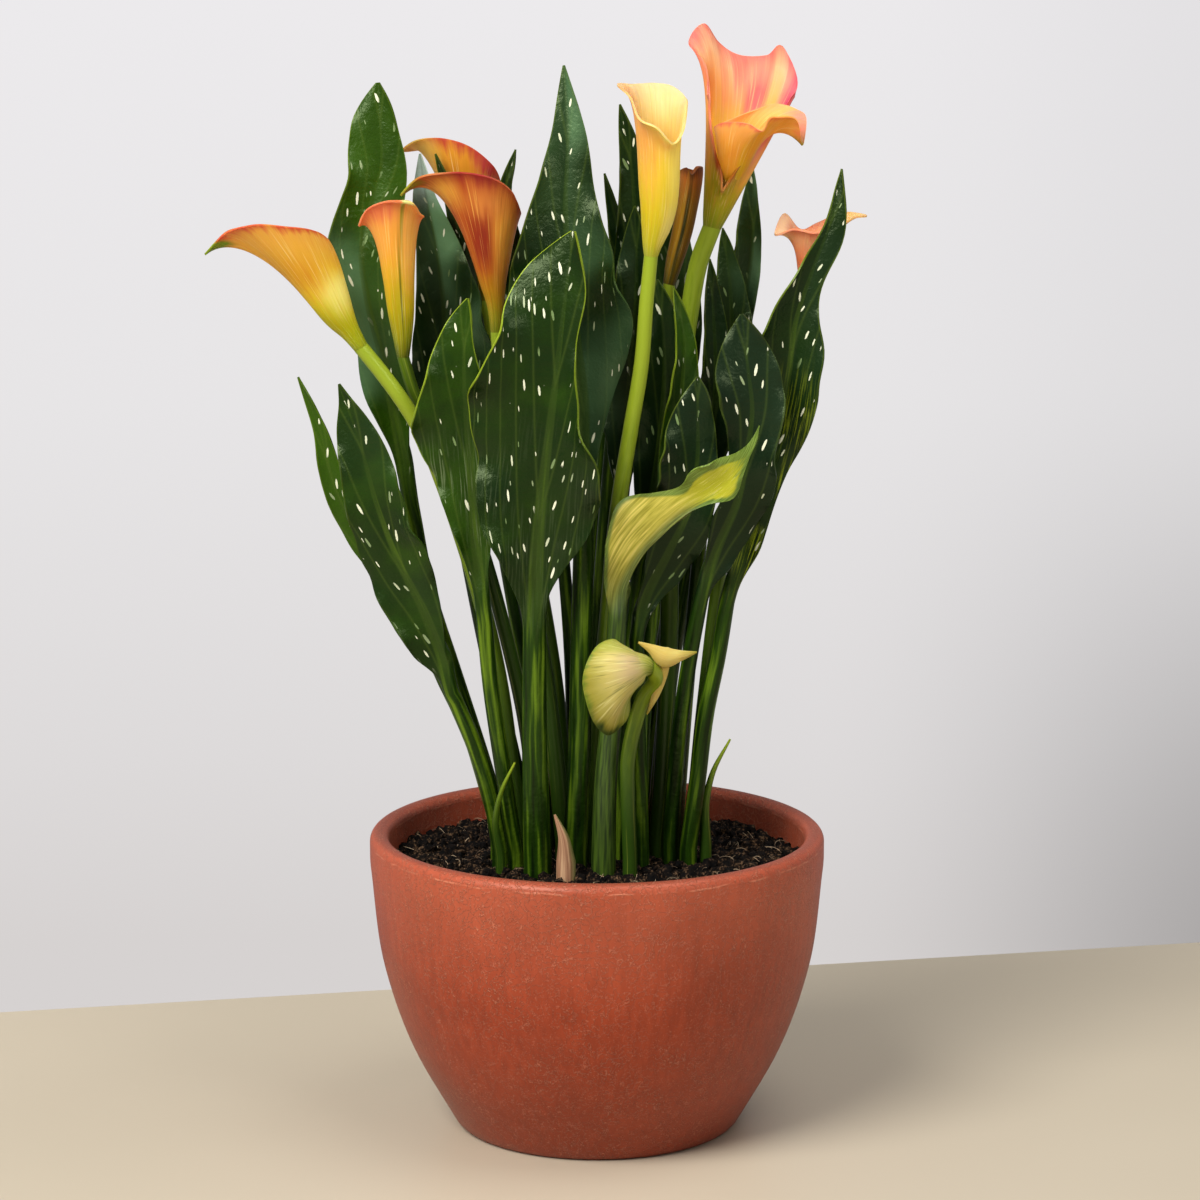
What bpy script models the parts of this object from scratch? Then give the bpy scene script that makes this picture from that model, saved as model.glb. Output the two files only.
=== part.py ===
"""Potted calla lily: a clump of spotted, wavy leaves and funnel-shaped blooms in a bowl planter.

Lengths below are in millimetres and angles in degrees. X runs right, Y runs back and Z up, from the middle
of the planter's underside. One unit in the Blender scene is one metre.
"""

import math

import bpy
import numpy as np

MM = 0.001
GAP = 0.3  # left between pieces that touch

POT_HEIGHT = 139.0
POT_RADIUS = 105.0
POT_WIDEST_Z = 125.0
POT_FOOT_RADIUS = 65.0
POT_WALL = 9.0
POT_FLOOR = 10.0
POT_SIDES = 32
POT_ROWS = (5, 14, 28, 46, 70, 98)  # heights of the rows of faces up the wall

SOIL_EDGE_Z = 123.5
SOIL_CROWN_Z = 125.5
ROOT_Z = 102.0  # bottom of the hole that each stalk stands in
COLLAR_Z = 134.0  # stalks run straight from their hole up to here

BLADE_THICKNESS = 0.8
BLADE_STATIONS = (0.0, 0.12, 0.28, 0.44, 0.58, 0.72, 0.86, 0.95, 1.0)
BLADE_COLUMNS = (-1.0, -0.55, 0.0, 0.55, 1.0)

SPATHE_THICKNESS = 0.9
SPATHE_SHARES = (0.0, 0.35, 0.7, 1.0)  # rings along the tube
SPATHE_FLARES = (0.3, 0.6, 0.84, 1.0)  # rings from the tube out to the rim


def lance(width):
    """Half widths of a plain lance-shaped blade at the stations."""
    return tuple(width * share for share in (0.14, 0.42, 0.8, 1.0, 0.94, 0.76, 0.46, 0.2, 0.0))


# Leaves. root is where the stalk enters the soil, path its line up to the tip, and blade_at the point of the
# path where the blade begins. left and right are half widths at BLADE_STATIONS, seen from the front of the
# leaf. face is the way the blade looks, at its base and at its tip: 0 is -Y, 90 is +X.
LEAVES = {
    "leaf_front": dict(
        root=(-27, -34), radius=(6.4, 5.2), blade_at=2, rings=12,
        path=((-28, -37, 180), (-28, -40, 236), (-26, -46, 287), (-22, -50, 323), (-18, -51, 355), (-14, -50, 390),
              (-10, -46, 421)),
        left=(5, 10, 26, 32, 38, 29, 23, 12, 0), right=(5, 7, 23, 28, 17, 13, 10, 5, 0), face=(0, -25), fold=16,
    ),
    "leaf_front_left": dict(
        root=(-37, -25), radius=(3.7, 3.6), blade_at=3, rings=10,
        path=((-43, -30, 176), (-48, -34, 214), (-51, -36, 250), (-54, -37, 279), (-56, -37, 307), (-58, -37, 335),
              (-59, -37, 362), (-57, -36, 390)),
        left=(4, 5, 11, 18, 25, 19, 12, 6, 0), right=(4, 5, 9, 13, 12, 9, 4, 2, 0), face=(-8, -15), fold=12,
    ),
    "leaf_left": dict(
        root=(-44, -16), radius=(4.2, 3.6), blade_at=3, rings=10,
        path=((-46, -18, 147), (-54, -20, 178), (-66, -22, 208), (-71, -24, 227), (-78, -26, 246), (-89, -28, 269),
              (-98, -28, 293), (-107, -26, 326), (-116, -22, 350)),
        left=(3, 11, 16, 15, 12, 10, 8, 4, 0), right=(3, 3, 8, 14, 13, 10, 7, 4, 0), face=(-15, -20), fold=12,
    ),
    "leaf_far_left": dict(
        root=(-46, -3), radius=(3.2, 2.8), blade_at=3, rings=8,
        path=((-50, -5, 158), (-58, -8, 184), (-69, -10, 208), (-82, -12, 235), (-95, -13, 258), (-108, -14, 278),
              (-119, -15, 303), (-125, -15, 328), (-135, -14, 352)),
        left=(2.5, 3, 5, 6, 6, 5, 3, 1.5, 0), right=(2.5, 3, 6, 9, 8, 6, 3, 1.5, 0), face=(-25, -30), fold=14,
    ),
    "leaf_tall_left": dict(
        root=(-44, 9), radius=(4.8, 3.8), blade_at=4, rings=11,
        path=((-54, 8, 170), (-67, 6, 213), (-78, 5, 250), (-85, 4, 290), (-90, 3, 320), (-97, 3, 357),
              (-104, 6, 384), (-106.5, 9, 407), (-103, 12, 424), (-97.5, 14, 443), (-98, 17, 465), (-99, 20, 482)),
        left=(3.5, 4, 12, 10, 16, 14, 15, 9, 0), right=(3.5, 4, 10, 15, 17, 15, 9, 5, 0), face=(-12, -5), fold=14,
    ),
    "leaf_left_back": dict(
        root=(-32, 14), radius=(4.5, 3.8), blade_at=3, rings=10,
        path=((-41, 15, 175), (-52, 16, 227), (-63, 20, 283), (-68, 24, 323), (-69, 26, 364), (-71, 27, 387),
              (-74, 28, 410), (-78, 29, 429), (-81, 30, 449)),
        left=(3.5, 7, 17, 14, 9, 6, 3.5, 1.5, 0), right=(3.5, 7, 17, 20, 17, 9, 3, 1.5, 0), face=(-8, -10), fold=14,
    ),
    "leaf_tall_middle": dict(
        root=(-10, -22), radius=(5.6, 4.6), blade_at=3, rings=12,
        path=((-8, -24, 180), (-7, -24, 232), (-6, -24, 279), (-6, -23, 315), (-6, -22, 342), (-9, -20, 368),
              (-12, -18, 395), (-14, -14, 425), (-13, -9, 460), (-15, -2, 491)),
        left=(4, 7, 20, 30, 26, 15, 7, 3, 0), right=(4, 5, 12, 28, 24, 14, 8, 3, 0), face=(-4, -10), fold=15,
    ),
    "leaf_right": dict(
        root=(42, -15), radius=(4.0, 3.6), blade_at=4, rings=12,
        path=((46, -15, 165), (50, -15, 198), (55, -15, 223), (59, -16, 249), (66, -17, 272), (78, -19, 314),
              (86, -21, 355), (89, -22, 378), (96, -22, 400), (105, -19, 425), (109, -16, 446)),
        left=(3, 6, 12, 19, 19, 10, 2.5, 1.5, 0), right=(3, 7, 8, 15, 16, 7, 8, 3, 0), face=(12, 0), fold=22,
    ),
    "leaf_right_middle": dict(
        root=(34, -8), radius=(4.0, 3.4), blade_at=3, rings=11,
        path=((37, -11, 180), (42, -18, 222), (47, -22, 251), (54, -27, 275), (63, -32, 298), (67, -36, 321),
              (69, -38, 340), (67, -38, 358), (64, -35, 383)),
        left=(3, 3, 8, 6, 10, 16, 13, 6, 0), right=(3, 8, 12, 15, 13, 15, 12, 5, 0), face=(8, 0), fold=10,
    ),
    "leaf_inner_low": dict(
        root=(20, -17), radius=(4.0, 3.4), blade_at=2,
        path=((19, -18, 190), (18, -20, 232), (22, -21, 251), (32, -23, 272), (42, -26, 295), (45, -28, 316),
              (45, -29, 338), (45, -28, 354)),
        left=(3, 3, 8, 14, 17, 18, 12, 5, 0), right=(3, 5, 11, 13, 11, 9, 7, 4, 0), face=(5, 0), fold=12,
    ),
    "leaf_inner_curled": dict(
        root=(19, -5), radius=(4.0, 3.4), blade_at=2,
        path=((21, -8, 190), (26, -12, 262), (33, -16, 300), (38, -17, 345), (39, -17, 370), (34, -16, 393)),
        left=lance(8), right=lance(9), face=(10, 20), fold=20,
    ),
    "leaf_inner_dark": dict(
        root=(9, -7), radius=(4.0, 3.4), blade_at=2,
        path=((12, -7, 190), (19, -7, 262), (26, -6, 300), (30, -5, 338), (30, -5, 370), (27, -5, 395)),
        left=lance(12), right=lance(16), face=(0, 5), fold=16,
    ),
    "leaf_middle_back": dict(
        root=(3, 5), radius=(4.2, 3.4), blade_at=2,
        path=((5, 6, 200), (11, 7, 290), (14, 7, 330), (17, 7, 370), (18, 7, 400), (17, 7, 427)),
        left=lance(15), right=lance(12), face=(-5, -5), fold=14,
    ),
    "leaf_behind_yellow": dict(
        root=(-2, 19), radius=(4.0, 3.4), blade_at=2,
        path=((0, 19, 220), (8, 19, 330), (13, 19, 370), (17, 19, 410), (16, 18, 440), (10, 17, 472)),
        left=lance(9), right=lance(12), face=(-5, -10), fold=16,
    ),
    "leaf_slim_back": dict(
        root=(-7, 33), radius=(3.4, 2.8), blade_at=2,
        path=((-4, 33, 220), (5, 33, 330), (10, 33, 370), (14, 33, 405), (15, 32, 430), (13, 31, 450)),
        left=lance(8), right=lance(9), face=(-10, -15), fold=16,
    ),
    "leaf_slim_left": dict(
        root=(9, 20), radius=(3.8, 3.0), blade_at=2,
        path=((9, 24, 220), (12, 27, 330), (14, 27, 365), (12, 26, 400), (8, 26, 420), (3, 25, 440)),
        left=lance(6), right=lance(6), face=(-20, -25), fold=20,
    ),
    "leaf_right_back": dict(
        root=(22, 24), radius=(4.6, 3.8), blade_at=2,
        path=((30, 27, 210), (46, 29, 300), (56, 29, 335), (65, 28, 370), (71, 28, 405), (71, 28, 443)),
        left=lance(14), right=lance(6), face=(12, 5), fold=18,
    ),
    "leaf_right_lower": dict(
        root=(27, 13), radius=(4.2, 3.6), blade_at=2,
        path=((34, 15, 210), (49, 18, 290), (56, 18, 325), (61, 18, 355), (61, 18, 385), (57, 18, 416)),
        left=lance(11), right=lance(11), face=(8, 10), fold=16,
    ),
    "leaf_right_slim": dict(
        root=(36, 5), radius=(3.8, 3.2), blade_at=2,
        path=((41, 6, 200), (47, 6, 270), (51, 6, 310), (54, 6, 345), (53, 7, 375), (51, 8, 403)),
        left=lance(8), right=lance(9), face=(10, 10), fold=18,
    ),
    "leaf_slim_tip": dict(
        root=(-11, 24), radius=(3.4, 2.8), blade_at=2,
        path=((-12, 24, 210), (-21, 25, 320), (-30, 26, 365), (-38, 26, 400), (-42, 26, 430), (-37, 27, 451)),
        left=(2.5, 4, 7, 7, 6, 5, 3, 1.5, 0), right=(2.5, 4, 7, 7, 6, 5, 3, 1.5, 0), face=(0, 0), fold=20,
    ),
    "leaf_behind_blooms": dict(
        root=(-21, 17), radius=(3.4, 2.8), blade_at=2,
        path=((-34, 26, 210), (-50, 38, 300), (-56, 40, 340), (-60, 36, 390), (-66, 29, 425), (-74, 26, 449)),
        left=(2.5, 4, 7, 7, 6, 5, 3, 1.5, 0), right=(2.5, 4, 7, 7, 6, 5, 3, 1.5, 0), face=(-10, -15), fold=18,
    ),
    "leaf_back_middle": dict(
        root=(23, 37), radius=(4.2, 3.4), blade_at=2,
        path=((27, 42, 210), (32, 48, 300), (34, 50, 340), (35, 50, 380), (34, 49, 415), (34, 47, 440)),
        left=lance(14), right=lance(14), face=(180, 175), fold=16,
    ),
    "leaf_back_left": dict(
        root=(-22, 39), radius=(4.4, 3.8), blade_at=2,
        path=((-26, 46, 200), (-36, 58, 275), (-40, 64, 310), (-42, 68, 345), (-38, 68, 380), (-32, 66, 412)),
        left=lance(20), right=lance(19), face=(195, 195), fold=16,
    ),
    "leaf_back_right": dict(
        root=(9, 41), radius=(4.4, 3.8), blade_at=2,
        path=((10, 50, 200), (8, 62, 270), (6, 66, 300), (4, 68, 330), (2, 68, 358), (0, 66, 388)),
        left=lance(18), right=lance(19), face=(175, 170), fold=16,
    ),
    "leaf_pale_curled": dict(
        root=(3, -36), radius=(5.6, 4.2), blade_at=3, rings=12,
        path=((4, -35, 170), (8, -32, 215), (9, -31, 243), (11, -32, 259), (18, -36, 273), (28, -40, 285),
              (39, -44, 295), (51, -47, 303), (61, -49, 312), (68, -50, 323), (72, -50, 335)),
        left=(4, 8, 17, 22, 16, 14, 12, 4, 0), right=(3, 2, 2, 2.5, 3, 7, 7, 2.5, 0), face=(5, 10), fold=8,
    ),
}

# Bloom stalks, from the soil to the foot of the funnel that each one carries, with their radius at both ends.
STALKS = {
    "bloom_far_left": dict(
        root=(-36, -11), radius=(4.0, 3.4), spathe="bloom_far_left_spathe",
        path=((-40, -12, 177), (-45, -13, 214), (-53, -16, 251), (-61, -19, 279), (-70, -21, 306), (-77, -22, 324),
              (-86, -23, 340), (-96, -23, 354)),
    ),
    "bloom_small_left": dict(
        root=(-27, -3), radius=(3.6, 2.8), spathe="bloom_small_left_spathe",
        path=((-33, -3, 190), (-42, -3, 232), (-54, -5, 276), (-66, -8, 309), (-75, -11, 329), (-82, -13, 343)),
    ),
    "bloom_red_left": dict(
        root=(-15, -7), radius=(4.2, 3.0), spathe="bloom_red_left_spathe",
        path=((-22, -7, 200), (-33, -5, 270), (-42, -1, 330)),
    ),
    "bloom_behind_left": dict(
        root=(-14, 8), radius=(4.0, 3.0), spathe="bloom_behind_left_spathe",
        path=((-19, 18, 200), (-31, 34, 270), (-44, 44, 330)),
    ),
    "bloom_yellow": dict(
        root=(-2, -9), radius=(4.4, 3.1), spathe="bloom_yellow_spathe",
        path=((0, -10, 190), (4, -14, 231), (10, -24, 297), (15, -29, 329), (20, -33, 361), (22, -35, 388)),
    ),
    "bloom_double": dict(
        root=(28, 1), radius=(4.2, 4.2), spathe="bloom_double_back_spathe",
        path=((30, 1, 160), (33, 2, 228), (34, 2, 302), (38, 1, 348), (42, 0, 380), (46, -2, 402)),
    ),
    "bloom_middle_back": dict(
        root=(15, 7), radius=(3.8, 2.8), spathe="bloom_middle_back_spathe",
        path=((18, 10, 210), (26, 16, 310), (31, 17, 365)),
    ),
    "bloom_right": dict(
        root=(43, -4), radius=(3.0, 3.1), spathe="bloom_right_spathe",
        path=((49, -3, 200), (60, -1, 280), (74, 2, 330), (88, 6, 366)),
    ),
    "bloom_faded": dict(
        root=(15, -38), radius=(3.3, 3.5), spathe="bloom_faded_spathe",
        path=((14, -39, 162), (14, -40, 181), (17, -41, 197), (21, -43, 210), (26.5, -48, 220)),
    ),
}

# Spathes, the funnels. body is the line of the tube: its middle (x, y, z) and half width, from the foot up.
# rim is the free edge: an angle (0 right, 90 back, 180 left, 270 front), its point (x, y, z), and how far the
# wall rises past that point before it curls back down to it.
SPATHES = {
    "bloom_far_left_spathe": dict(
        spadix=26,
        body=((-105.4, -23, 365.8, 3.3), (-109.7, -23.5, 372.3, 4.4), (-114.5, -24, 379.5, 6.9),
              (-121.3, -24, 392.4, 10.1)),
        rim=((0, -119, -24, 414, 0), (45, -126, -12, 416, 2), (90, -140, -6, 417, 3), (135, -156, -10, 417, 4),
             (165, -167, -19, 415, 6), (180, -174, -24, 407, 9), (195, -167, -29, 415, 6), (225, -154, -37, 421, 3),
             (270, -136, -41, 421, 3), (315, -124, -36, 419, 2)),
    ),
    "bloom_small_left_spathe": dict(
        spadix=24,
        body=((-87, -15, 360.4, 2.8), (-87.2, -15, 369.8, 4.4), (-87.8, -15, 381.4, 6), (-88.5, -15, 393.9, 6.9),
              (-89.1, -15, 404.5, 8)),
        rim=((0, -77, -13, 423, 3), (45, -83, -4, 425, 0), (90, -92, 0, 425, 0), (135, -100, -3, 425, 0),
             (165, -105, -9, 423, 2), (180, -106, -15, 419, 6), (215, -102, -24, 427, 3), (250, -93, -30, 431, 4),
             (275, -87, -33, 431, 8), (300, -81, -35, 430, 9), (320, -79, -28, 426, 5)),
    ),
    "bloom_red_left_spathe": dict(
        spadix=26,
        body=((-45.2, 1, 369.8, 3), (-45.8, 1.5, 382.4, 4), (-46.9, 2, 391.9, 6), (-47.8, 3, 404.9, 9.3)),
        rim=((0, -34, 4, 423, 0), (45, -39, 18, 430, 2), (90, -51, 24, 434, 3), (135, -69, 17, 436, 5),
             (165, -82, 8, 435, 8), (180, -88, 1, 431, 16), (195, -82, -5, 438, 8), (225, -68, -10, 442, 5),
             (270, -49, -16, 441, 3), (315, -38, -11, 434, 2)),
    ),
    "bloom_behind_left_spathe": dict(
        spadix=26,
        body=((-53.7, 46, 379.3, 3), (-54.5, 45, 393.3, 4), (-55.8, 44, 403.6, 6), (-57.1, 43, 416.6, 8.8)),
        rim=((0, -44, 42, 433, 0), (45, -48, 55, 438, 2), (90, -60, 60, 446, 3), (135, -73, 54, 449, 5),
             (165, -83, 47, 448, 8), (180, -89, 42, 448, 14), (195, -85, 37, 452, 8), (225, -75, 31, 455, 5),
             (270, -59, 26, 452, 3), (315, -47, 31, 442, 2)),
    ),
    "bloom_yellow_spathe": dict(
        spadix=30, late=0.9, hue="yellow",
        body=((23.9, -35, 407.8, 3.1), (24.6, -35, 413.6, 4.6), (26.1, -35, 420.7, 6.6), (27.2, -35.5, 429.1, 8),
              (27.4, -36, 439.7, 9), (27.3, -36, 450.2, 9.4)),
        rim=((0, 40, -33, 474, 0), (30, 39, -25, 477, 0), (60, 33, -18, 481, 0), (90, 26, -16, 482, 0),
             (120, 20, -18, 482, 0), (150, 15, -23, 482, 1), (180, 9, -28, 482, 5), (205, 14, -42, 478, 1),
             (235, 18, -50, 469, 0), (270, 26, -54, 465, 0), (300, 33, -51, 458, 0), (330, 38, -44, 463, 0)),
    ),
    "bloom_double_back_spathe": dict(
        spadix=0, late=0.9,
        body=((51.7, -4, 417.8, 4.2), (52.8, -4, 422.2, 5.4), (53.9, -4, 426.2, 6.4)),
        rim=((0, 86, 2, 472, 0), (22, 90, 8, 483, 0), (40, 84, 14, 497, 2), (65, 77, 19, 493, 0),
             (90, 64, 21, 493, 0), (115, 54, 20, 499, 0), (135, 48, 17, 507, 0), (160, 41, 8, 499, 4),
             (185, 49, 0, 489, 0), (210, 52.5, -8, 473, 0), (235, 52.5, -12, 452, 0), (265, 55, -14, 432, 0),
             (295, 61, -14, 433, 0), (318, 68, -11, 441, 0), (340, 77, -4, 456, 0)),
    ),
    "bloom_double_front_spathe": dict(
        spadix=20,
        body=((55.6, -5, 427.5, 2.6), (59.4, -8, 439, 4.5), (61, -12, 446.5, 6.8), (62, -14, 452.7, 8.6)),
        rim=((0, 92, -18, 455, 9), (15, 94, -14, 463, 4), (40, 89, -9, 470, 2), (70, 79, -7, 473, 0),
             (100, 69, -7, 470, 0), (135, 59, -8, 466, 0), (180, 52, -14, 463, 0), (225, 56, -26, 466, 0),
             (270, 68, -31, 465, 0), (315, 79, -30, 465, 0), (345, 89, -23, 462, 4)),
    ),
    "bloom_middle_back_spathe": dict(
        spadix=0,
        body=((32.8, 17, 389.8, 2.8), (35.2, 17, 399.9, 3.9), (38.9, 17, 414.4, 4.7), (41.4, 17, 428, 5)),
        rim=((0, 48, 17, 443, 2), (45, 46, 22, 443, 0), (90, 44, 24, 441, 0), (135, 40, 22, 442, 0),
             (180, 37, 17, 441, 2), (225, 40, 12, 443, 0), (270, 43, 11, 440, 0), (315, 46, 12, 443, 0)),
    ),
    "bloom_right_spathe": dict(
        spadix=14,
        body=((94.3, 7, 386.8, 3.1), (94.5, 7, 394.1, 3.5), (95.5, 7, 400.9, 5.3)),
        rim=((0, 122, 9, 421, 4), (20, 117, 13, 422, 3), (60, 109, 17, 421, 2), (90, 101, 20, 417, 1),
             (135, 91, 17, 415, 0), (160, 84, 12, 422, 0), (180, 80, 4, 414, 3), (215, 88, -2, 416, 2),
             (270, 99, -6, 415, 1), (315, 110, -2, 418, 2), (345, 117, 4, 421, 3)),
    ),
    "bloom_faded_spathe": dict(
        spadix=0, hue="faded",
        body=((24.5, -53, 225.5, 2.8), (20.5, -54, 228, 4.4), (16.5, -55, 228.5, 7)),
        rim=((0, 7, -53, 239, 0), (45, 11, -49, 232, 0), (90, 7, -47, 219, 0), (135, 9, -49, 210, 0),
             (180, 15, -53, 209, 0), (210, 12, -57, 201, 0), (228, 5, -58, 196, 0), (245, -1, -61, 202, 0),
             (270, -6, -64, 218, 0), (300, -5, -64, 229, 0), (330, 0, -59, 237, 0)),
    ),
}
FADED_FLAP = dict(  # the half of the faded spathe that sticks out to the right
    path=((20.5, -54, 233), (26, -53, 234), (31, -52, 233.5), (38, -51, 233), (44, -50, 232.5)),
    widths=(4.0, 4.4, 4.4, 2.6, 0.4),
)

# Small shoots and dry sheaths that stand in the soil beside the stalks.
SHOOTS = {
    "sheath_dry": dict(root=(-14, -42), radius=(4.4, 0.6), path=((-15, -43, 145), (-19, -43, 156)), hue="dry"),
    "shoot_left": dict(root=(-44, -33), radius=(2.1, 0.5), path=((-46, -35, 150), (-43, -37, 166), (-37, -38, 179)),
                       hue="shoot"),
    "shoot_right": dict(root=(50, -11), radius=(2.8, 0.5), path=((50, -12, 155), (53, -12, 168), (61, -12, 184)),
                        hue="shoot"),
    "shoot_back": dict(root=(31, 24), radius=(2.0, 0.5), path=((31, 23, 160), (35, 22, 180)), hue="shoot"),
}

COLOURS = {  # linear red, green, blue and roughness
    "pot": (0.43, 0.07, 0.035, 0.62),
    "soil": (0.02, 0.014, 0.01, 0.95),
    "leaf": (0.02, 0.07, 0.02, 0.38),
    "pale": (0.55, 0.55, 0.12, 0.45),
    "stalk": (0.18, 0.28, 0.05, 0.42),
    "spathe": (0.75, 0.26, 0.06, 0.42),
    "yellow": (0.85, 0.6, 0.12, 0.42),
    "faded": (0.6, 0.5, 0.25, 0.6),
    "spadix": (0.8, 0.5, 0.08, 0.7),
    "dry": (0.3, 0.17, 0.08, 0.8),
    "shoot": (0.08, 0.2, 0.03, 0.45),
}


def smooth(at, values, where):
    """Values read from a smooth curve that passes each value at its place."""
    at = np.asarray(at, float)
    values = np.asarray(values, float)
    step = np.diff(at)
    lean = np.diff(values, axis=0) / (step if values.ndim == 1 else step[:, None])
    share = step[:-1] / (step[:-1] + step[1:])
    if values.ndim > 1:
        share = share[:, None]
    inner = lean[:-1] * (1 - share) + lean[1:] * share
    slope = np.concatenate((lean[:1], inner, lean[-1:]))
    where = np.atleast_1d(where)
    span = np.clip(np.searchsorted(at, where, side="right") - 1, 0, len(at) - 2)
    width = at[span + 1] - at[span]
    t = (where - at[span]) / width
    if values.ndim > 1:
        t, width = t[:, None], width[:, None]
    return (
        values[span] * (1 + 2 * t) * (1 - t) ** 2
        + slope[span] * width * t * (1 - t) ** 2
        + values[span + 1] * t * t * (3 - 2 * t)
        - slope[span + 1] * width * t * t * (1 - t)
    )


def unit(vectors):
    """Vectors of length one."""
    vectors = np.asarray(vectors, float)
    return vectors / np.linalg.norm(vectors, axis=-1, keepdims=True)


def square_to(vectors, along):
    """The part of each vector that is square to a direction, at length one."""
    return unit(vectors - np.sum(vectors * along, axis=-1, keepdims=True) * along)


def line_lengths(knots):
    """Distance of each knot along the line."""
    steps = np.linalg.norm(np.diff(knots, axis=0), axis=1)
    return np.concatenate(([0.0], np.cumsum(steps)))


def circle(centre, across, forward, radius, angles):
    """Points round a centre, at angles from across towards forward."""
    angles = np.radians(angles)
    return centre + radius * (np.outer(np.cos(angles), across) + np.outer(np.sin(angles), forward))


def build(name, points, faces, hue, smooth_angle=50.0):
    """An object of the given points, in millimetres, and faces."""
    mesh = bpy.data.meshes.new(name)
    mesh.from_pydata([tuple(point * MM) for point in np.asarray(points, float)], [], faces)
    mesh.shade_smooth()
    mesh.set_sharp_from_angle(angle=math.radians(smooth_angle))
    mesh.materials.append(material(hue))
    piece = bpy.data.objects.new(name, mesh)
    bpy.context.collection.objects.link(piece)
    return piece


def material(hue):
    """The plain finish of that name."""
    finish = bpy.data.materials.get(hue)
    if finish is None:
        red, green, blue, roughness = COLOURS[hue]
        finish = bpy.data.materials.new(hue)
        finish.use_nodes = True
        surface = finish.node_tree.nodes["Principled BSDF"]
        surface.inputs["Base Color"].default_value = (red, green, blue, 1.0)
        surface.inputs["Roughness"].default_value = roughness
    return finish


def skin(rings, other_split=lambda row, here: False):
    """Faces over rings that follow each other, each counter-clockwise as seen from the last one. other_split
    says which faces are cut along their other diagonal, so that both sides of a thin wall are cut alike."""
    count = len(rings[0])
    faces = [tuple(reversed(range(count)))]
    for row in range(len(rings) - 1):
        low, high = row * count, (row + 1) * count
        for here in range(count):
            beside = (here + 1) % count
            if other_split(row, here):
                faces.append((low + here, low + beside, high + here))
                faces.append((low + beside, high + beside, high + here))
            else:
                faces.append((low + here, low + beside, high + beside))
                faces.append((low + here, high + beside, high + here))
    last = (len(rings) - 1) * count
    faces.append(tuple(last + here for here in range(count)))
    return np.concatenate(rings), faces


LEAF_CIRCLE = (162, 126, 90, 54, 18, -18, -54, -90, -126, -162)
ROD_CIRCLE = (180, 135, 90, 45, 0, -45, -90, -135)


def stalk_rings(root, radius, path, angles, shares, end=None):
    """Rings of a stalk: its foot in the soil, its collar, then the given shares of its line. end is the way
    that its top face looks."""
    knots = np.array([(*root, COLLAR_Z), *path], float)
    at = line_lengths(knots)
    x_axis, forward = np.array((1.0, 0, 0)), np.array((0, -1.0, 0))
    rings = [circle(np.array((*root, ROOT_Z + GAP)), x_axis, forward, radius[0], angles)]
    for share in shares:
        here = share * at[-1]
        centre = smooth(at, knots, here)[0]
        ahead = unit(smooth(at, knots, here + 0.5)[0] - smooth(at, knots, max(here - 0.5, 0))[0])
        if share == 0:
            ahead = np.array((0, 0, 1.0))
        if share == 1 and end is not None:
            ahead = unit(end)
        front = square_to(forward, ahead)
        across = np.cross(ahead, front)
        size = radius[0] + (radius[1] - radius[0]) * share
        rings.append(circle(centre, across, front, size, angles))
    return rings


def stalk(name, root, radius, path, hue="stalk", shares=(0, 0.2, 0.4, 0.6, 0.78, 0.92, 1.0), end=None):
    """A round stalk of one bloom, or a pointed shoot."""
    points, faces = skin(stalk_rings(root, radius, path, ROD_CIRCLE, shares, end))
    return build(name, points, faces, hue)


def blade_row(centre, across, front, left, right, fold, roll, ruffle, phase):
    """One row of five points over a blade, from its left edge to its right edge."""
    row = []
    for side, width in ((-1, left), (1, right)):
        inner, outer = (
            math.radians(fold + roll * share + ruffle * share * math.sin(phase + side))
            for share in (0.25, 0.75)
        )
        half = centre + 0.5 * width * (side * math.cos(inner) * across + math.sin(inner) * front)
        edge = half + 0.5 * width * (side * math.cos(outer) * across + math.sin(outer) * front)
        row.append((half, edge))
    (left_half, left_edge), (right_half, right_edge) = row
    return np.array((left_edge, left_half, centre, right_half, right_edge))


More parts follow.
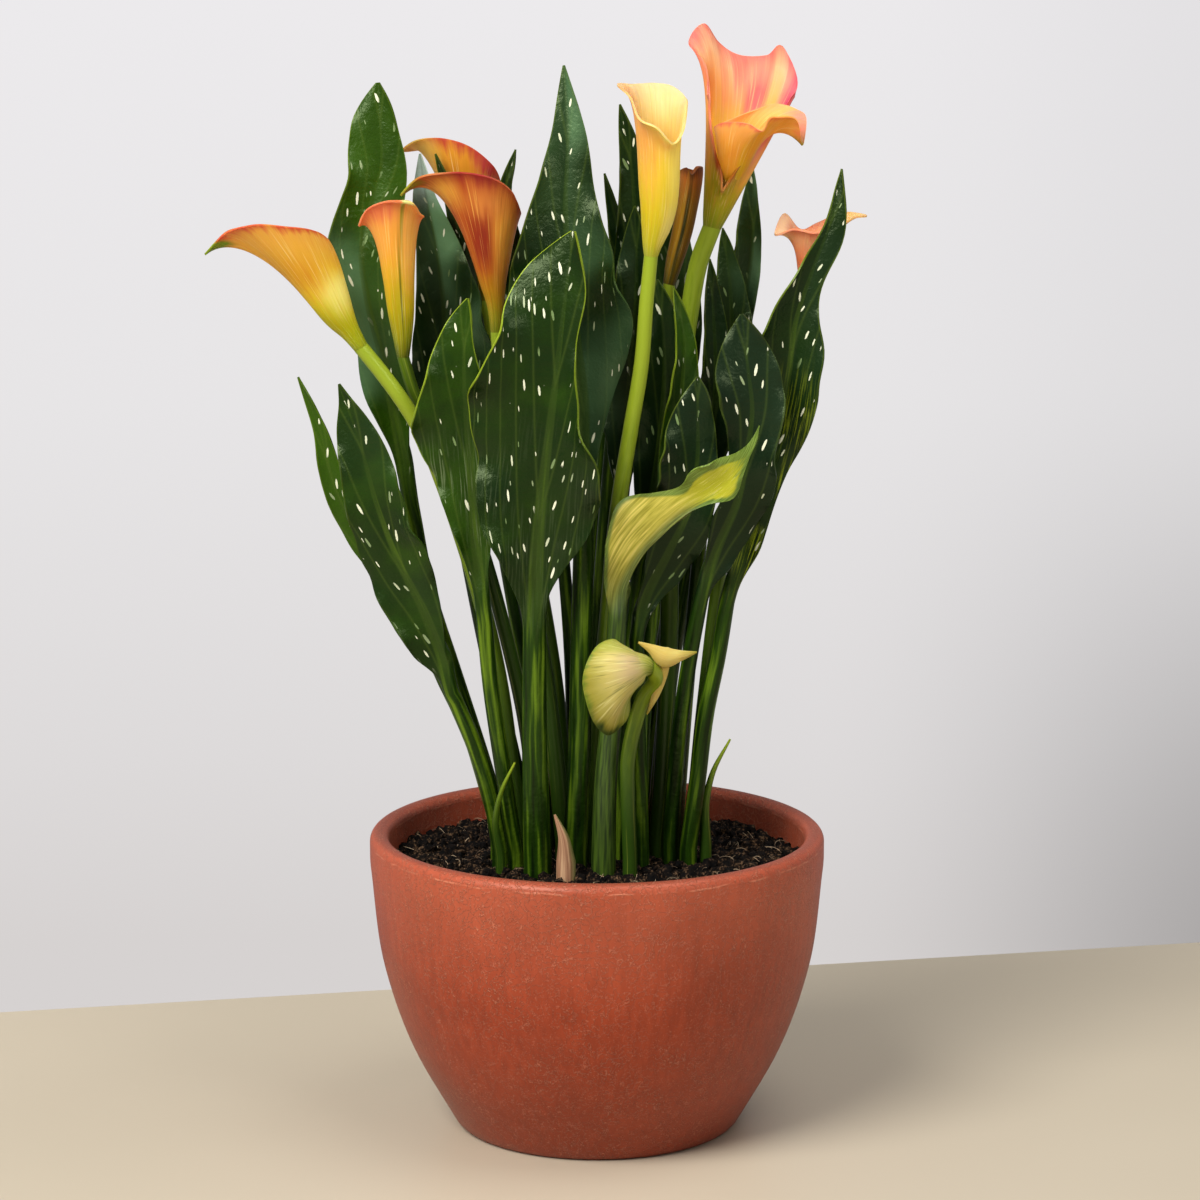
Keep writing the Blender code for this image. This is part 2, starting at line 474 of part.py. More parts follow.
def leaf(name, root, radius, blade_at, path, left, right, face, fold, roll=0, ruffle=30, waves=2.0, rings=7,
         hue="leaf"):
    """One leaf: a stalk that opens into a blade with a keel, a fold along its middle and waved edges."""
    knots = np.array([(*root, COLLAR_Z), *path], float)
    at = line_lengths(knots)
    length = at[-1] - at[blade_at]
    stalk_line = knots[: blade_at + 1]
    half_turn = 180 * round(face[0] / 180)  # the stalk's rings start where those of a blade that looks back do
    angles = [angle - half_turn for angle in LEAF_CIRCLE]
    rows = stalk_rings(root, radius, stalk_line[1:], angles, (0, 0.35, 0.7))
    shares = np.concatenate((np.linspace(0, 1, rings + 1)[:-1], (0.955, 1.0)))
    centres = smooth(at, knots, at[blade_at] + shares * length)
    ahead = unit(np.gradient(centres, axis=0))
    turn = np.radians(face[0] + (face[1] - face[0]) * shares)
    looks = np.stack((np.sin(turn), -np.cos(turn), np.zeros_like(turn)), axis=1)
    front = square_to(looks, ahead)
    across = np.cross(ahead, front)
    lefts = np.maximum(smooth(BLADE_STATIONS, left, shares), 0.5)
    rights = np.maximum(smooth(BLADE_STATIONS, right, shares), 0.5)
    grid = np.array([
        blade_row(centres[i], across[i], front[i], lefts[i], rights[i], fold, roll, ruffle,
                  2 * math.pi * waves * shares[i])
        for i in range(len(shares))
    ])
    normals = unit(np.cross(np.gradient(grid, axis=1), np.gradient(grid, axis=0)))
    keel = BLADE_THICKNESS + (radius[1] * 1.6 - BLADE_THICKNESS) * (1 - shares) ** 2
    depth = np.full(grid.shape[:2], BLADE_THICKNESS)
    depth[:, 2] = keel
    under = grid - normals * depth[:, :, None]
    opened = np.clip(shares / 0.14, 0, 1)
    opened = opened * opened * (3 - 2 * opened)
    for i in range(len(shares)):
        round_ring = circle(centres[i], across[i], front[i], radius[1], LEAF_CIRCLE)
        flat_ring = np.concatenate((grid[i], under[i][::-1]))
        rows.append(round_ring + (flat_ring - round_ring) * opened[i])
    points, faces = skin(rows, lambda row, here: here >= len(BLADE_COLUMNS))
    return build(name, points, faces, hue)


def spathe_rings(body, rim, late, columns, shares, flares):
    """Rings of a funnel: up the outside of its tube, out to its rim and down its inside to its floor. columns
    are angles round it, shares places along the tube and flares places between the tube and the rim."""
    body = np.array(body, float)
    rim = np.array(rim, float)
    at = line_lengths(body[:, :3])
    where = np.array(shares) * at[-1]
    centres = smooth(at, body[:, :3], where)
    ahead = unit(smooth(at, body[:, :3], where + 0.4) - smooth(at, body[:, :3], where - 0.4))
    near = square_to(np.array((0, -1.0, 0)), ahead)
    right = np.cross(ahead, near)
    sizes = smooth(at, body[:, 3], where)
    outer = [circle(centres[i], right[i], -near[i], sizes[i], columns) for i in range(len(where))]
    turned = np.concatenate((rim[-3:, 0] - 360, rim[:, 0], rim[:3, 0] + 360))
    edge = smooth(turned, np.concatenate((rim[-3:, 1:], rim[:, 1:], rim[:3, 1:])), columns)
    start, target, curl = outer[-1], edge[:, :3], edge[:, 3:]
    reach = np.linalg.norm(target - start, axis=1, keepdims=True)
    onward = unit(start - outer[-2])
    straight = start + onward * 0.85 * np.sum((target - start) * onward, axis=1, keepdims=True)
    chord = target + 0.25 * (start - target)
    leave = start + onward * reach * 0.45
    arrive = chord + (straight - chord) * late + curl * ahead[-1]
    for flare in flares:
        rest = 1 - flare
        outer.append(rest ** 3 * start + 3 * rest * rest * flare * leave + 3 * rest * flare * flare * arrive
                     + flare ** 3 * target)
    outer = np.array(outer)
    round_edges = np.roll(outer, -1, axis=1) - np.roll(outer, 1, axis=1)
    normals = unit(np.cross(round_edges, np.gradient(outer, axis=0)))
    inner = outer - normals * SPATHE_THICKNESS
    return [*outer, *inner[:0:-1]], ahead[0]


def spathe(name, body, rim, spadix, late=0.5, hue="spathe"):
    """A spathe, with its spadix standing on the floor of the funnel if that has a length. late is how far up
    the wall runs straight before it leans out to the rim, from 0 to 1."""
    angles = [row[0] for row in rim]
    spans = list(zip(angles, angles[1:] + [360]))
    columns = sorted(angles + [(low + high) / 2 for low, high in spans if high - low > 40])
    rings, axis = spathe_rings(body, rim, late, columns, SPATHE_SHARES, SPATHE_FLARES)
    points, faces = skin(rings, lambda row, here: row >= len(SPATHE_SHARES) + len(SPATHE_FLARES))
    piece = build(name, points, faces, hue)
    if spadix:
        ahead = unit(np.array(body[2][:3], float) - np.array(body[1][:3], float))
        floor = rings[-1].mean(axis=0)
        floor = floor + ahead * (np.max((rings[-1] - floor) @ ahead) + GAP)
        across = square_to(np.array((1.0, 0, 0)), ahead)
        front = np.cross(across, ahead)
        profile = ((0, 1.4), (0.25, 2.4), (0.7, 2.3), (0.93, 1.5), (1, 0.6))
        rings = [circle(floor + ahead * spadix * up, across, front, size, ROD_CIRCLE) for up, size in profile]
        points, faces = skin(rings)
        build(name.replace("spathe", "spadix"), points, faces, "spadix")
    return piece


def flap(name, path, widths):
    """A thin leaf-shaped flap of a folded spathe, upright and facing the front."""
    knots = np.array(path, float)
    ahead = unit(np.gradient(knots, axis=0))
    front = np.array((0, -1.0, 0))
    up = np.cross(front, ahead)
    rings = []
    for centre, rise, width in zip(knots, up, widths):
        thick = front * SPATHE_THICKNESS
        rings.append(np.array((centre - rise * width - thick, centre - rise * width + thick,
                               centre + rise * width + thick, centre + rise * width - thick)))
    points, faces = skin(rings)
    return build(name, points, faces, "faded")


def turned(name, profile, sides, hue, ripple=None):
    """A closed shape turned round the Z axis from a profile of (radius, height), from its low middle outwards,
    up, and back in to the middle."""
    points = []
    faces = []
    first, last = profile[0], profile[-1]
    rings = profile[1:-1]
    points.append((0, 0, first[1]))
    for radius, height in rings:
        for side in range(sides):
            angle = 2 * math.pi * side / sides
            lift = ripple(radius, angle, height) if ripple else 0.0
            points.append((radius * math.cos(angle), radius * math.sin(angle), height + lift))
    points.append((0, 0, last[1]))
    top = len(points) - 1
    for side in range(sides):
        beside = (side + 1) % sides
        faces.append((0, 1 + beside, 1 + side))
        for row in range(len(rings) - 1):
            low, high = 1 + row * sides, 1 + (row + 1) * sides
            faces.append((low + side, low + beside, high + beside, high + side))
        low = 1 + (len(rings) - 1) * sides
        faces.append((low + side, low + beside, top))
    return build(name, points, faces, hue)


def pot_outside(height):
    """Outer radius of the bowl at a height."""
    knots = (0, 10, 35, 75, POT_WIDEST_Z)
    return smooth(knots, (POT_FOOT_RADIUS, 70.8, 84.6, 98.5, POT_RADIUS), height)[0]


def pot():
    """The bowl planter, with a flat foot, thick wall and round lip."""
    outside = [(pot_outside(z), z) for z in (*POT_ROWS, POT_WIDEST_Z)]
    lip_centre = (POT_RADIUS - POT_WALL / 2, POT_HEIGHT - POT_WALL / 2)
    lip = [
        (lip_centre[0] + POT_WALL / 2 * math.cos(angle), lip_centre[1] + POT_WALL / 2 * math.sin(angle))
        for angle in np.radians((0, 40, 75, 105, 140, 180))
    ]
    inside = [(pot_outside(z) - POT_WALL, z) for z in reversed(POT_ROWS[2:])]
    floor = [(pot_outside(POT_FLOOR) - POT_WALL - 4, POT_FLOOR)]
    profile = [(0, 0), (POT_FOOT_RADIUS - 3, 0), (POT_FOOT_RADIUS, 1.2), *outside, *lip, *inside, *floor,
               (0, POT_FLOOR)]
    return turned("pot", profile, POT_SIDES, "pot")


def soil_height(radius, angle):
    """Height of the loose soil above its edge."""
    share = min(radius / (POT_RADIUS - POT_WALL), 1.0)
    crown = (SOIL_CROWN_Z - SOIL_EDGE_Z) * (1 - share * share)
    lumps = 0.9 * math.sin(0.11 * radius + 3 * angle) + 0.7 * math.sin(5 * angle - 0.2 * radius)
    return crown + lumps * min(1.0, 2.5 * (1 - share))


def soil(stalks):
    """The soil that fills the bowl, with a plain hole for each stalk."""
    walls = [(pot_outside(z) - POT_WALL - GAP, z) for z in POT_ROWS[2:]]
    edge = pot_outside(SOIL_EDGE_Z) - POT_WALL - 3 * GAP
    low = POT_FLOOR + GAP
    top = [(edge * share, SOIL_EDGE_Z) for share in (1, 0.78, 0.4)]
    profile = [(0, low), (pot_outside(POT_FLOOR) - POT_WALL - 5, low), *walls, *top, (0, SOIL_CROWN_Z)]

    def ripple(radius, angle, height):
        return soil_height(radius, angle) if height == SOIL_EDGE_Z and radius < edge else 0.0

    ground = turned("soil", profile, POT_SIDES, "soil", ripple)
    cutters = []
    for name, (root, radius, angles) in stalks.items():
        x_axis, forward = np.array((1.0, 0, 0)), np.array((0, -1.0, 0))
        rings = [
            circle(np.array((*root, z)), x_axis, forward, radius + GAP + 0.1, angles)
            for z in (ROOT_Z, COLLAR_Z)
        ]
        points, faces = skin(rings)
        cutters.append(build(name + "_hole", points, faces, "soil"))
    for cutter in cutters:
        cutter.hide_render = True
        cutter.display_type = "WIRE"
        cut = ground.modifiers.new(cutter.name, "BOOLEAN")
        cut.operation = "DIFFERENCE"
        cut.object = cutter
    return ground


for old in list(bpy.data.objects):
    bpy.data.objects.remove(old, do_unlink=True)

holes = {}
pot()
for name, values in LEAVES.items():
    leaf(name, **values)
    holes[name] = (values["root"], values["radius"][0], LEAF_CIRCLE)
for name, values in STALKS.items():
    foot, above = (np.array(row[:3], float) for row in SPATHES[values.pop("spathe")]["body"][:2])
    axis = unit(above - foot)
    values["path"] = (*values["path"], tuple(foot - axis * GAP))
    stalk(name + "_stalk", end=axis, **values)
    holes[name] = (values["root"], values["radius"][0], ROD_CIRCLE)
for name, values in SHOOTS.items():
    stalk(name, values["root"], values["radius"], values["path"], values["hue"], (0, 0.25, 0.5, 0.75, 1.0))
    holes[name] = (values["root"], values["radius"][0], ROD_CIRCLE)
pieces = {name: spathe(name, **values) for name, values in SPATHES.items()}
side = flap("bloom_faded_flap", **FADED_FLAP)
side.hide_render = True
side.display_type = "WIRE"
join = pieces["bloom_faded_spathe"].modifiers.new("flap", "BOOLEAN")
join.operation = "UNION"
join.object = side
soil(holes)
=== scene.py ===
"""Potted calla lily: the finish of a clump of spotted, wavy leaves and funnel blooms in a clay bowl.

Lengths in the tables are in millimetres and angles in degrees, from the middle of the planter's underside:
X runs right, Y back and Z up.
"""

import math

import bpy
import numpy as np
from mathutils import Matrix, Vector
from mathutils import noise as lattice


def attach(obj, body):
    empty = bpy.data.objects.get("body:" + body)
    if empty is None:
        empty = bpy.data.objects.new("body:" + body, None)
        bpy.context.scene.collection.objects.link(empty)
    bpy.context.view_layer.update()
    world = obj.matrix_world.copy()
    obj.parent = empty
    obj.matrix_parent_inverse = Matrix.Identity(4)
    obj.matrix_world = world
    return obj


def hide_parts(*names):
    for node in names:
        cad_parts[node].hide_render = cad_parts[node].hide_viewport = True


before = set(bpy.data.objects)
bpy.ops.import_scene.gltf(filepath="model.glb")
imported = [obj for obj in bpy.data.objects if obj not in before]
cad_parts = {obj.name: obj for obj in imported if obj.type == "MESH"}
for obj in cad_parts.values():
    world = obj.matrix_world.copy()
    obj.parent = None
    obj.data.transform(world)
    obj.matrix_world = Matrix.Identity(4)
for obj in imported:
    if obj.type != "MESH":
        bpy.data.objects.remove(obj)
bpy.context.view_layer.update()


# Planter. A bowl of red clay cast in one piece, with a thick round lip and a flat foot. It is rubbed smooth
# outside, where pale grains and short scuffs show, most of all just under the lip. A thin pale line just
# under the lip is partly wear and partly a painted glint. Shade is painted darker towards the foot, and a
# highlight is painted lighter over the upper part.
MM = 0.001
CREASE = 50.0  # degrees between faces from which an edge stays sharp
POT_HEIGHT = 139.0
POT_RADIUS = 105.0
POT_WIDEST_Z = 125.0
POT_FOOT_RADIUS = 65.0
POT_WALL = 9.0
POT_FLOOR = 10.0
POT_SIDES = 180
POT_WALL_ROWS = 34
LIP_ROWS = 14
POT_OUTLINE = ((0, POT_FOOT_RADIUS), (10, 70.8), (35, 84.6), (75, 98.5), (POT_WIDEST_Z, POT_RADIUS))
FOOT_ROUNDING = ((3, 0), (0.8, 0.5), (0, 1.2))  # how far in from the foot's radius, and the height
FLOOR_CORNER = ((60, POT_FLOOR + 1.5), (54, POT_FLOOR))  # radius and height where wall meets floor
LOWEST_WALL_ROW = 3
WALL_END = POT_WIDEST_Z + 6
INSIDE_START = POT_FLOOR + 12
WORN_GLINT_Z = 134.7


def smooth(at, values, where):
    """Values read from a smooth curve that passes each value at its place."""
    at = np.asarray(at, float)
    values = np.asarray(values, float)
    step = np.diff(at)
    lean = np.diff(values, axis=0) / (step if values.ndim == 1 else step[:, None])
    share = step[:-1] / (step[:-1] + step[1:])
    if values.ndim > 1:
        share = share[:, None]
    inner = lean[:-1] * (1 - share) + lean[1:] * share
    slope = np.concatenate((lean[:1], inner, lean[-1:]))
    where = np.atleast_1d(where)
    span = np.clip(np.searchsorted(at, where, side="right") - 1, 0, len(at) - 2)
    width = at[span + 1] - at[span]
    t = (where - at[span]) / width
    if values.ndim > 1:
        t, width = t[:, None], width[:, None]
    return (
        values[span] * (1 + 2 * t) * (1 - t) ** 2
        + slope[span] * width * t * (1 - t) ** 2
        + values[span + 1] * t * t * (3 - 2 * t)
        - slope[span + 1] * width * t * t * (1 - t)
    )


def placed(name, data):
    """An object of that data, in the scene."""
    thing = bpy.data.objects.new(name, data)
    bpy.context.scene.collection.objects.link(thing)
    return thing


def piece(name, points, faces, finish, slot, marks=None, stands_for=True):
    """A shown piece of points in millimetres, which stands for the solid of its name. marks are the named
    values at each point that its finish reads."""
    mesh = bpy.data.meshes.new(name + "_fine")
    mesh.from_pydata((np.asarray(points, float) * MM).tolist(), [], faces)
    for mark, values in (marks or {}).items():
        values = np.asarray(values, np.float32)
        kind, field = ("FLOAT", "value") if values.ndim == 1 else ("FLOAT_VECTOR", "vector")
        mesh.attributes.new(mark, kind, "POINT").data.foreach_set(field, values.ravel())
    mesh.shade_smooth()
    mesh.set_sharp_from_angle(angle=math.radians(CREASE))
    mesh.materials.append(finish)
    shown = placed(name + "_fine", mesh)
    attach(shown, "root")
    if stands_for:
        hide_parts(name)
    return shown


def turned(profile, sides):
    """Points and faces of a closed shape turned round the Z axis. Its profile of radius and height runs
    from its low middle outwards, up, and back in to the middle."""
    rings = np.array(profile[1:-1], float)
    angles = np.linspace(0, 2 * math.pi, sides, endpoint=False)
    body = np.stack((np.outer(rings[:, 0], np.cos(angles)), np.outer(rings[:, 0], np.sin(angles)),
                     np.repeat(rings[:, 1:], sides, axis=1)), axis=-1).reshape(-1, 3)
    points = np.concatenate(([(0, 0, profile[0][1])], body, [(0, 0, profile[-1][1])]))
    top, last = len(points) - 1, 1 + (len(rings) - 1) * sides
    faces = []
    for side in range(sides):
        beside = (side + 1) % sides
        faces.append((0, 1 + beside, 1 + side))
        faces.append((last + side, last + beside, top))
        for row in range(len(rings) - 1):
            low, high = 1 + row * sides, 1 + (row + 1) * sides
            faces.append((low + side, low + beside, high + beside, high + side))
    return points, faces


def pot_outside(height):
    """Outer radius of the bowl at a height."""
    heights, radii = zip(*POT_OUTLINE)
    return smooth(heights, radii, height)


def paint(colour):
    """A colour of three numbers from 0 to 255, in the scale that light adds up in. A wire, or a colour of
    four numbers, stays as it is."""
    if not isinstance(colour, tuple) or len(colour) != 3:
        return colour
    return (*(((level / 255 + 0.055) / 1.055) ** 2.4 for level in colour), 1.0)


class Wire:
    """An output in a tree of nodes. An expression of wires and numbers adds its Math nodes."""

    def __init__(self, nodes, socket):
        self.nodes, self.socket = nodes, socket

    def maths(self, operation, *values):
        return self.nodes.add("ShaderNodeMath", {"operation": operation}, dict(enumerate(values)))

    def __add__(self, other):
        return self.maths("ADD", self, other)

    def __sub__(self, other):
        return self.maths("SUBTRACT", self, other)

    def __rsub__(self, other):
        return self.maths("SUBTRACT", other, self)

    def __mul__(self, other):
        return self.maths("MULTIPLY", self, other)

    def __truediv__(self, other):
        return self.maths("DIVIDE", self, other)

    def __pow__(self, other):
        return self.maths("POWER", self, other)

    def __abs__(self):
        return self.maths("ABSOLUTE", self)

    __radd__, __rmul__ = __add__, __mul__

    def most(self, other):
        return self.maths("MAXIMUM", self, other)

    def wave(self, length):
        """1 at every such length, and 0 half way between."""
        return 0.5 + 0.5 * self.maths("COSINE", self * (2 * math.pi / length))

    def rise(self, low, high):
        """0 up to low, 1 from high on, and smooth between them. A low above high turns it round."""
        ends = {"Value": self, "From Min": low, "From Max": high}
        return self.nodes.add("ShaderNodeMapRange", {"interpolation_type": "SMOOTHSTEP"}, ends)


class Nodes:
    """A tree of nodes that is built from Python."""

    def __init__(self, tree):
        self.tree = tree

    def add(self, kind, settings=None, values=None, output=0):
        """Adds a node: its settings, a ramp's stops among them, then the values or wires of its sockets."""
        node = self.tree.nodes.new(kind)
        for name, value in (settings or {}).items():
            if name == "stops":
                ramp = node.color_ramp
                ramp.elements.remove(ramp.elements[1])
                for index, (place, colour) in enumerate(value):
                    stop = ramp.elements[0] if index == 0 else ramp.elements.new(place)
                    stop.position, stop.color = place, colour
            else:
                setattr(node, name, value)
        for key, value in (values or {}).items():
            for given in value if isinstance(value, list) else [value]:
                if isinstance(given, Wire):
                    self.tree.links.new(given.socket, node.inputs[key])
                else:
                    node.inputs[key].default_value = given
        return Wire(self, node.outputs[output]) if len(node.outputs) else None

    def noise(self, place, scale, detail=2.0):
        return self.add("ShaderNodeTexNoise", None, {"Vector": place, "Scale": scale, "Detail": detail})

    def parts(self, vector):
        """The three numbers of a vector."""
        first = self.add("ShaderNodeSeparateXYZ", None, {0: vector})
        return [Wire(self, socket) for socket in first.socket.node.outputs]

    def vector(self, x, y, z=0.0):
        return self.add("ShaderNodeCombineXYZ", None, {0: x, 1: y, 2: z})

    def mark(self, name, output="Vector"):
        """What a piece says at each of its points under that name."""
        return self.add("ShaderNodeAttribute", {"attribute_name": name}, None, output)

    def blend(self, under, over, share):
        """A colour with another laid over it."""
        values = {0: share, 6: paint(under), 7: paint(over)}
        return self.add("ShaderNodeMix", {"data_type": "RGBA"}, values, 2)

    def ramp(self, where, *stops):
        """The colours of the stops, by where a point lies between their places."""
        stops = [(place, paint(colour)) for place, colour in stops]
        return self.add("ShaderNodeValToRGB", {"stops": stops}, {0: where})


class Finish(Nodes):
    """A material under its name."""

    def __init__(self, name):
        self.material = bpy.data.materials.new(name)
        self.material.use_nodes = True
        super().__init__(self.material.node_tree)
        self.tree.nodes.clear()

    def here(self):
        """The place of a point on the object."""
        return self.add("ShaderNodeTexCoord", None, None, "Object")

    def end(self, colour, roughness, height=None, depth=0.1, fixed=None):
        """Ends the tree in its surface. height is relief of that depth in millimetres, and fixed what is
        the same all over the surface."""
        values = {"Base Color": colour, "Roughness": roughness, **(fixed or {})}
        if height is not None:
            values["Normal"] = self.add("ShaderNodeBump", None, {"Height": height, "Distance": depth * MM})
        shader = self.add("ShaderNodeBsdfPrincipled", None, values)
        self.add("ShaderNodeOutputMaterial", None, {"Surface": shader})
        return self.material


def red_clay():
    """Matt red clay, faintly cloudy, with pale grains, hair-thin scuffs and a pale line under the lip that
    is partly wear and partly a painted glint. Painted shade darkens its foot and a painted highlight
    lightens its upper part.
    """
    clay = Finish("red_clay")
    here = clay.here()
    x, y, z = clay.parts(here)
    cloud = clay.noise(here, 18, 3)
    brushed = clay.noise(clay.vector(x, y, z * 0.12), 330, 3)
    patchy = clay.noise(here, 60, 3)
    hairs = abs(clay.noise(here, 360, 2) - 0.5).rise(0.03, 0.008)
    hairs = hairs * (patchy + 0.1 * z.rise(0.09, 0.13)).rise(0.2, 0.8)
    grains = clay.noise(here, 1100, 1).rise(0.64, 0.76)
    # A thin pale line just under the lip: partly wear, partly a painted glint along the lip's edge.
    worn_glint = abs(z - WORN_GLINT_Z * MM + 0.003 * (patchy - 0.5)).rise(0.0006, 0.0001)
    worn_glint = worn_glint * clay.noise(here, 90, 3).rise(0.4, 0.62)
    colour = clay.ramp(cloud * 0.5 + brushed * 0.5, (0.3, (126, 42, 17)), (0.5, (148, 52, 23)),
                       (0.7, (168, 64, 32)))
    # Painted shade: darker towards the foot.
    colour = clay.blend(colour, (116, 42, 16), z.rise(0.09, 0.01) * 0.4)
    # Painted highlight: lighter over the upper part of the bowl, most of all just under the lip.
    colour = clay.blend(colour, (206, 108, 78), z.rise(0.07, 0.134) * (0.2 + 0.4 * cloud))
    colour = clay.blend((146, 70, 50), colour, z.rise(0.1392, 0.1376))
    # Pale grains and scuffs, and the pale line under the lip that is partly a painted glint.
    colour = clay.blend(colour, (226, 146, 114), (hairs * 0.42).most(grains * 0.3).most(worn_glint * 0.5))
    relief = hairs * 2.6 + grains * 0.5 + brushed * 0.4 + clay.noise(here, 260, 4) * 0.8 + worn_glint * 0.5
    return clay.end(colour, 0.34 + 0.16 * cloud, relief, 0.2,
                    {"Specular IOR Level": 0.5, "Specular Tint": (1.0, 0.78, 0.66, 1.0)})


lip_middle = (POT_RADIUS - POT_WALL / 2, POT_HEIGHT - POT_WALL / 2)
wall_heights = np.linspace(LOWEST_WALL_ROW, WALL_END, POT_WALL_ROWS)
outside = [(float(pot_outside(min(z, POT_WIDEST_Z))[0]), float(z)) for z in wall_heights]
lip = [(lip_middle[0] + POT_WALL / 2 * math.cos(turn), lip_middle[1] + POT_WALL / 2 * math.sin(turn))
       for turn in np.linspace(0, math.pi, LIP_ROWS)]
inside = [(radius - POT_WALL, z) for radius, z in reversed(outside) if INSIDE_START < z < POT_WIDEST_Z]
foot = [(POT_FOOT_RADIUS - inset, z) for inset, z in FOOT_ROUNDING]
profile = [(0, 0), *foot, *outside, *lip, *inside, *FLOOR_CORNER, (0, POT_FLOOR)]
piece("pot", *turned(profile, POT_SIDES), red_clay(), "pot")


# Soil. Loose dark peat fills the bowl to a little under its lip, with crumbs of every size, lumps of bark
# and short pale root hairs on top.
SOIL_EDGE_Z = 123.0
SOIL_RADIUS = 95.5
SOIL_LOW_Z = 100.0
SOIL_SIDES = 160
SOIL_RINGS = 56
SOIL_SIDE = ((90, SOIL_LOW_Z), (SOIL_RADIUS - 1, 110), (SOIL_RADIUS, 119))
SCATTER_Z = 119.5  # crumbs and root hairs lie on faces above this
ROOT_HAIR_RADIUS = 0.036  # of the bend that a root hair follows


def soil_top(x, y):
    """Height of the loose soil."""
    reach = math.hypot(x, y) / SOIL_RADIUS
    lumps = 2.0 * lattice.noise(Vector((x * 0.045, y * 0.045, 3.0)))
    grit = 1.6 * lattice.fractal(Vector((x * 0.2, y * 0.2, 7.0)), 1.0, 2.0, 4)
    return SOIL_EDGE_Z + 2.2 * (1 - reach * reach) + (lumps + grit) * min(1.0, 4.0 * (1 - reach) + 0.25)


def grown(name, host, finish, inputs, make):
    """Runs a tree of geometry nodes over a host, with those named inputs. Gives what it makes as a piece."""
    tree = bpy.data.node_groups.new(name, "GeometryNodeTree")
    tree.interface.new_socket("Geometry", in_out="OUTPUT", socket_type="NodeSocketGeometry")
    kinds = {"Ground": "NodeSocketGeometry"}
    kinds.update({label: "NodeSocketInt" if isinstance(value, int) else "NodeSocketFloat"
                  for label, value in inputs.items()})
    sockets = {label: tree.interface.new_socket(label, in_out="INPUT", socket_type=kind)
               for label, kind in kinds.items()}
    nodes = Nodes(tree)
    entry = tree.nodes.new("NodeGroupInput")
    made = make(nodes, {label: Wire(nodes, entry.outputs[label]) for label in kinds})
    made = nodes.add("GeometryNodeRealizeInstances", None, {0: made})
    made = nodes.add("GeometryNodeSetMaterial", None, {"Geometry": made, "Material": finish})
    nodes.add("NodeGroupOutput", None, {0: made})
    growth = host.modifiers.new(name, "NODES")
    growth.node_group = tree
    for label, value in inputs.items():
        growth[sockets[label].identifier] = value
    mesh = bpy.data.meshes.new_from_object(host.evaluated_get(bpy.context.evaluated_depsgraph_get()))
    host.modifiers.remove(growth)
    shown = placed(name, mesh)
    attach(shown, "root")
    return shown


def peat():
    """Damp dark peat with brown grit. Its nearly black patches, spread at random, are painted shade for the
    hollows between crumbs.
    """
    earth = Finish("peat")
    here = earth.here()
    grit = 0.5 * earth.noise(here, 260, 2) + 0.5 * earth.noise(here, 1000, 3)
    # The nearly black end of this ramp is painted shade, standing in for the hollows between crumbs.
    colour = earth.ramp(grit, (0.42, (2, 1, 1)), (0.54, (20, 13, 8)), (0.67, (112, 86, 62)))
    return earth.end(colour, 0.85, earth.noise(here, 900, 3), 0.6, {"Specular IOR Level": 0.1})


def root_hair():
    """Dry, pale brown fibre."""
    hair = Finish("root_hair")
    here = hair.here()
    colour = hair.ramp(hair.noise(here, 120, 1), (0.35, (84, 64, 46)), (0.62, (196, 170, 136)))
    return hair.end(colour, 0.8)


def crumb_tree(nodes, given):
    """Rough crumbs scattered over the ground, from the smallest size to the largest."""
    points = nodes.add("GeometryNodeDistributePointsOnFaces", None,
                       {"Mesh": given["Ground"], "Density": given["Density"], "Seed": given["Seed"]})
    crumb = nodes.add("GeometryNodeMeshIcoSphere", None, {"Radius": 1.0, "Subdivisions": 1})
    shape = nodes.add("FunctionNodeRandomValue", {"data_type": "FLOAT_VECTOR"},
                      {0: (0.6, 0.6, 0.45), 1: (1.3, 1.0, 0.8), "Seed": 11})
    even = nodes.add("FunctionNodeRandomValue", {"data_type": "FLOAT"}, {2: 0.0, 3: 1.0, "Seed": 12}, 1)
    size = given["Smallest"] + (given["Largest"] - given["Smallest"]) * even * even * even
    scale = nodes.add("ShaderNodeVectorMath", {"operation": "SCALE"}, {0: shape, "Scale": size})
    turn = nodes.add("FunctionNodeRandomValue", {"data_type": "FLOAT_VECTOR"},
                     {0: (0.0, 0.0, 0.0), 1: (6.28, 6.28, 6.28), "Seed": 13})
    crumbs = nodes.add("GeometryNodeInstanceOnPoints", None,
                       {"Points": points, "Instance": crumb, "Rotation": turn, "Scale": scale})
    crumbs = nodes.add("GeometryNodeRealizeInstances", None, {0: crumbs})
    place = nodes.add("GeometryNodeInputPosition")
    push = nodes.add("ShaderNodeTexNoise", None, {"Vector": place, "Scale": 900.0, "Detail": 1.0}, 1)
    push = nodes.add("ShaderNodeVectorMath", {"operation": "SUBTRACT"}, {0: push, 1: (0.5, 0.5, 0.5)})
    push = nodes.add("ShaderNodeVectorMath", {"operation": "SCALE"}, {0: push, "Scale": given["Roughness"]})
    return nodes.add("GeometryNodeSetPosition", None, {"Geometry": crumbs, "Offset": push})


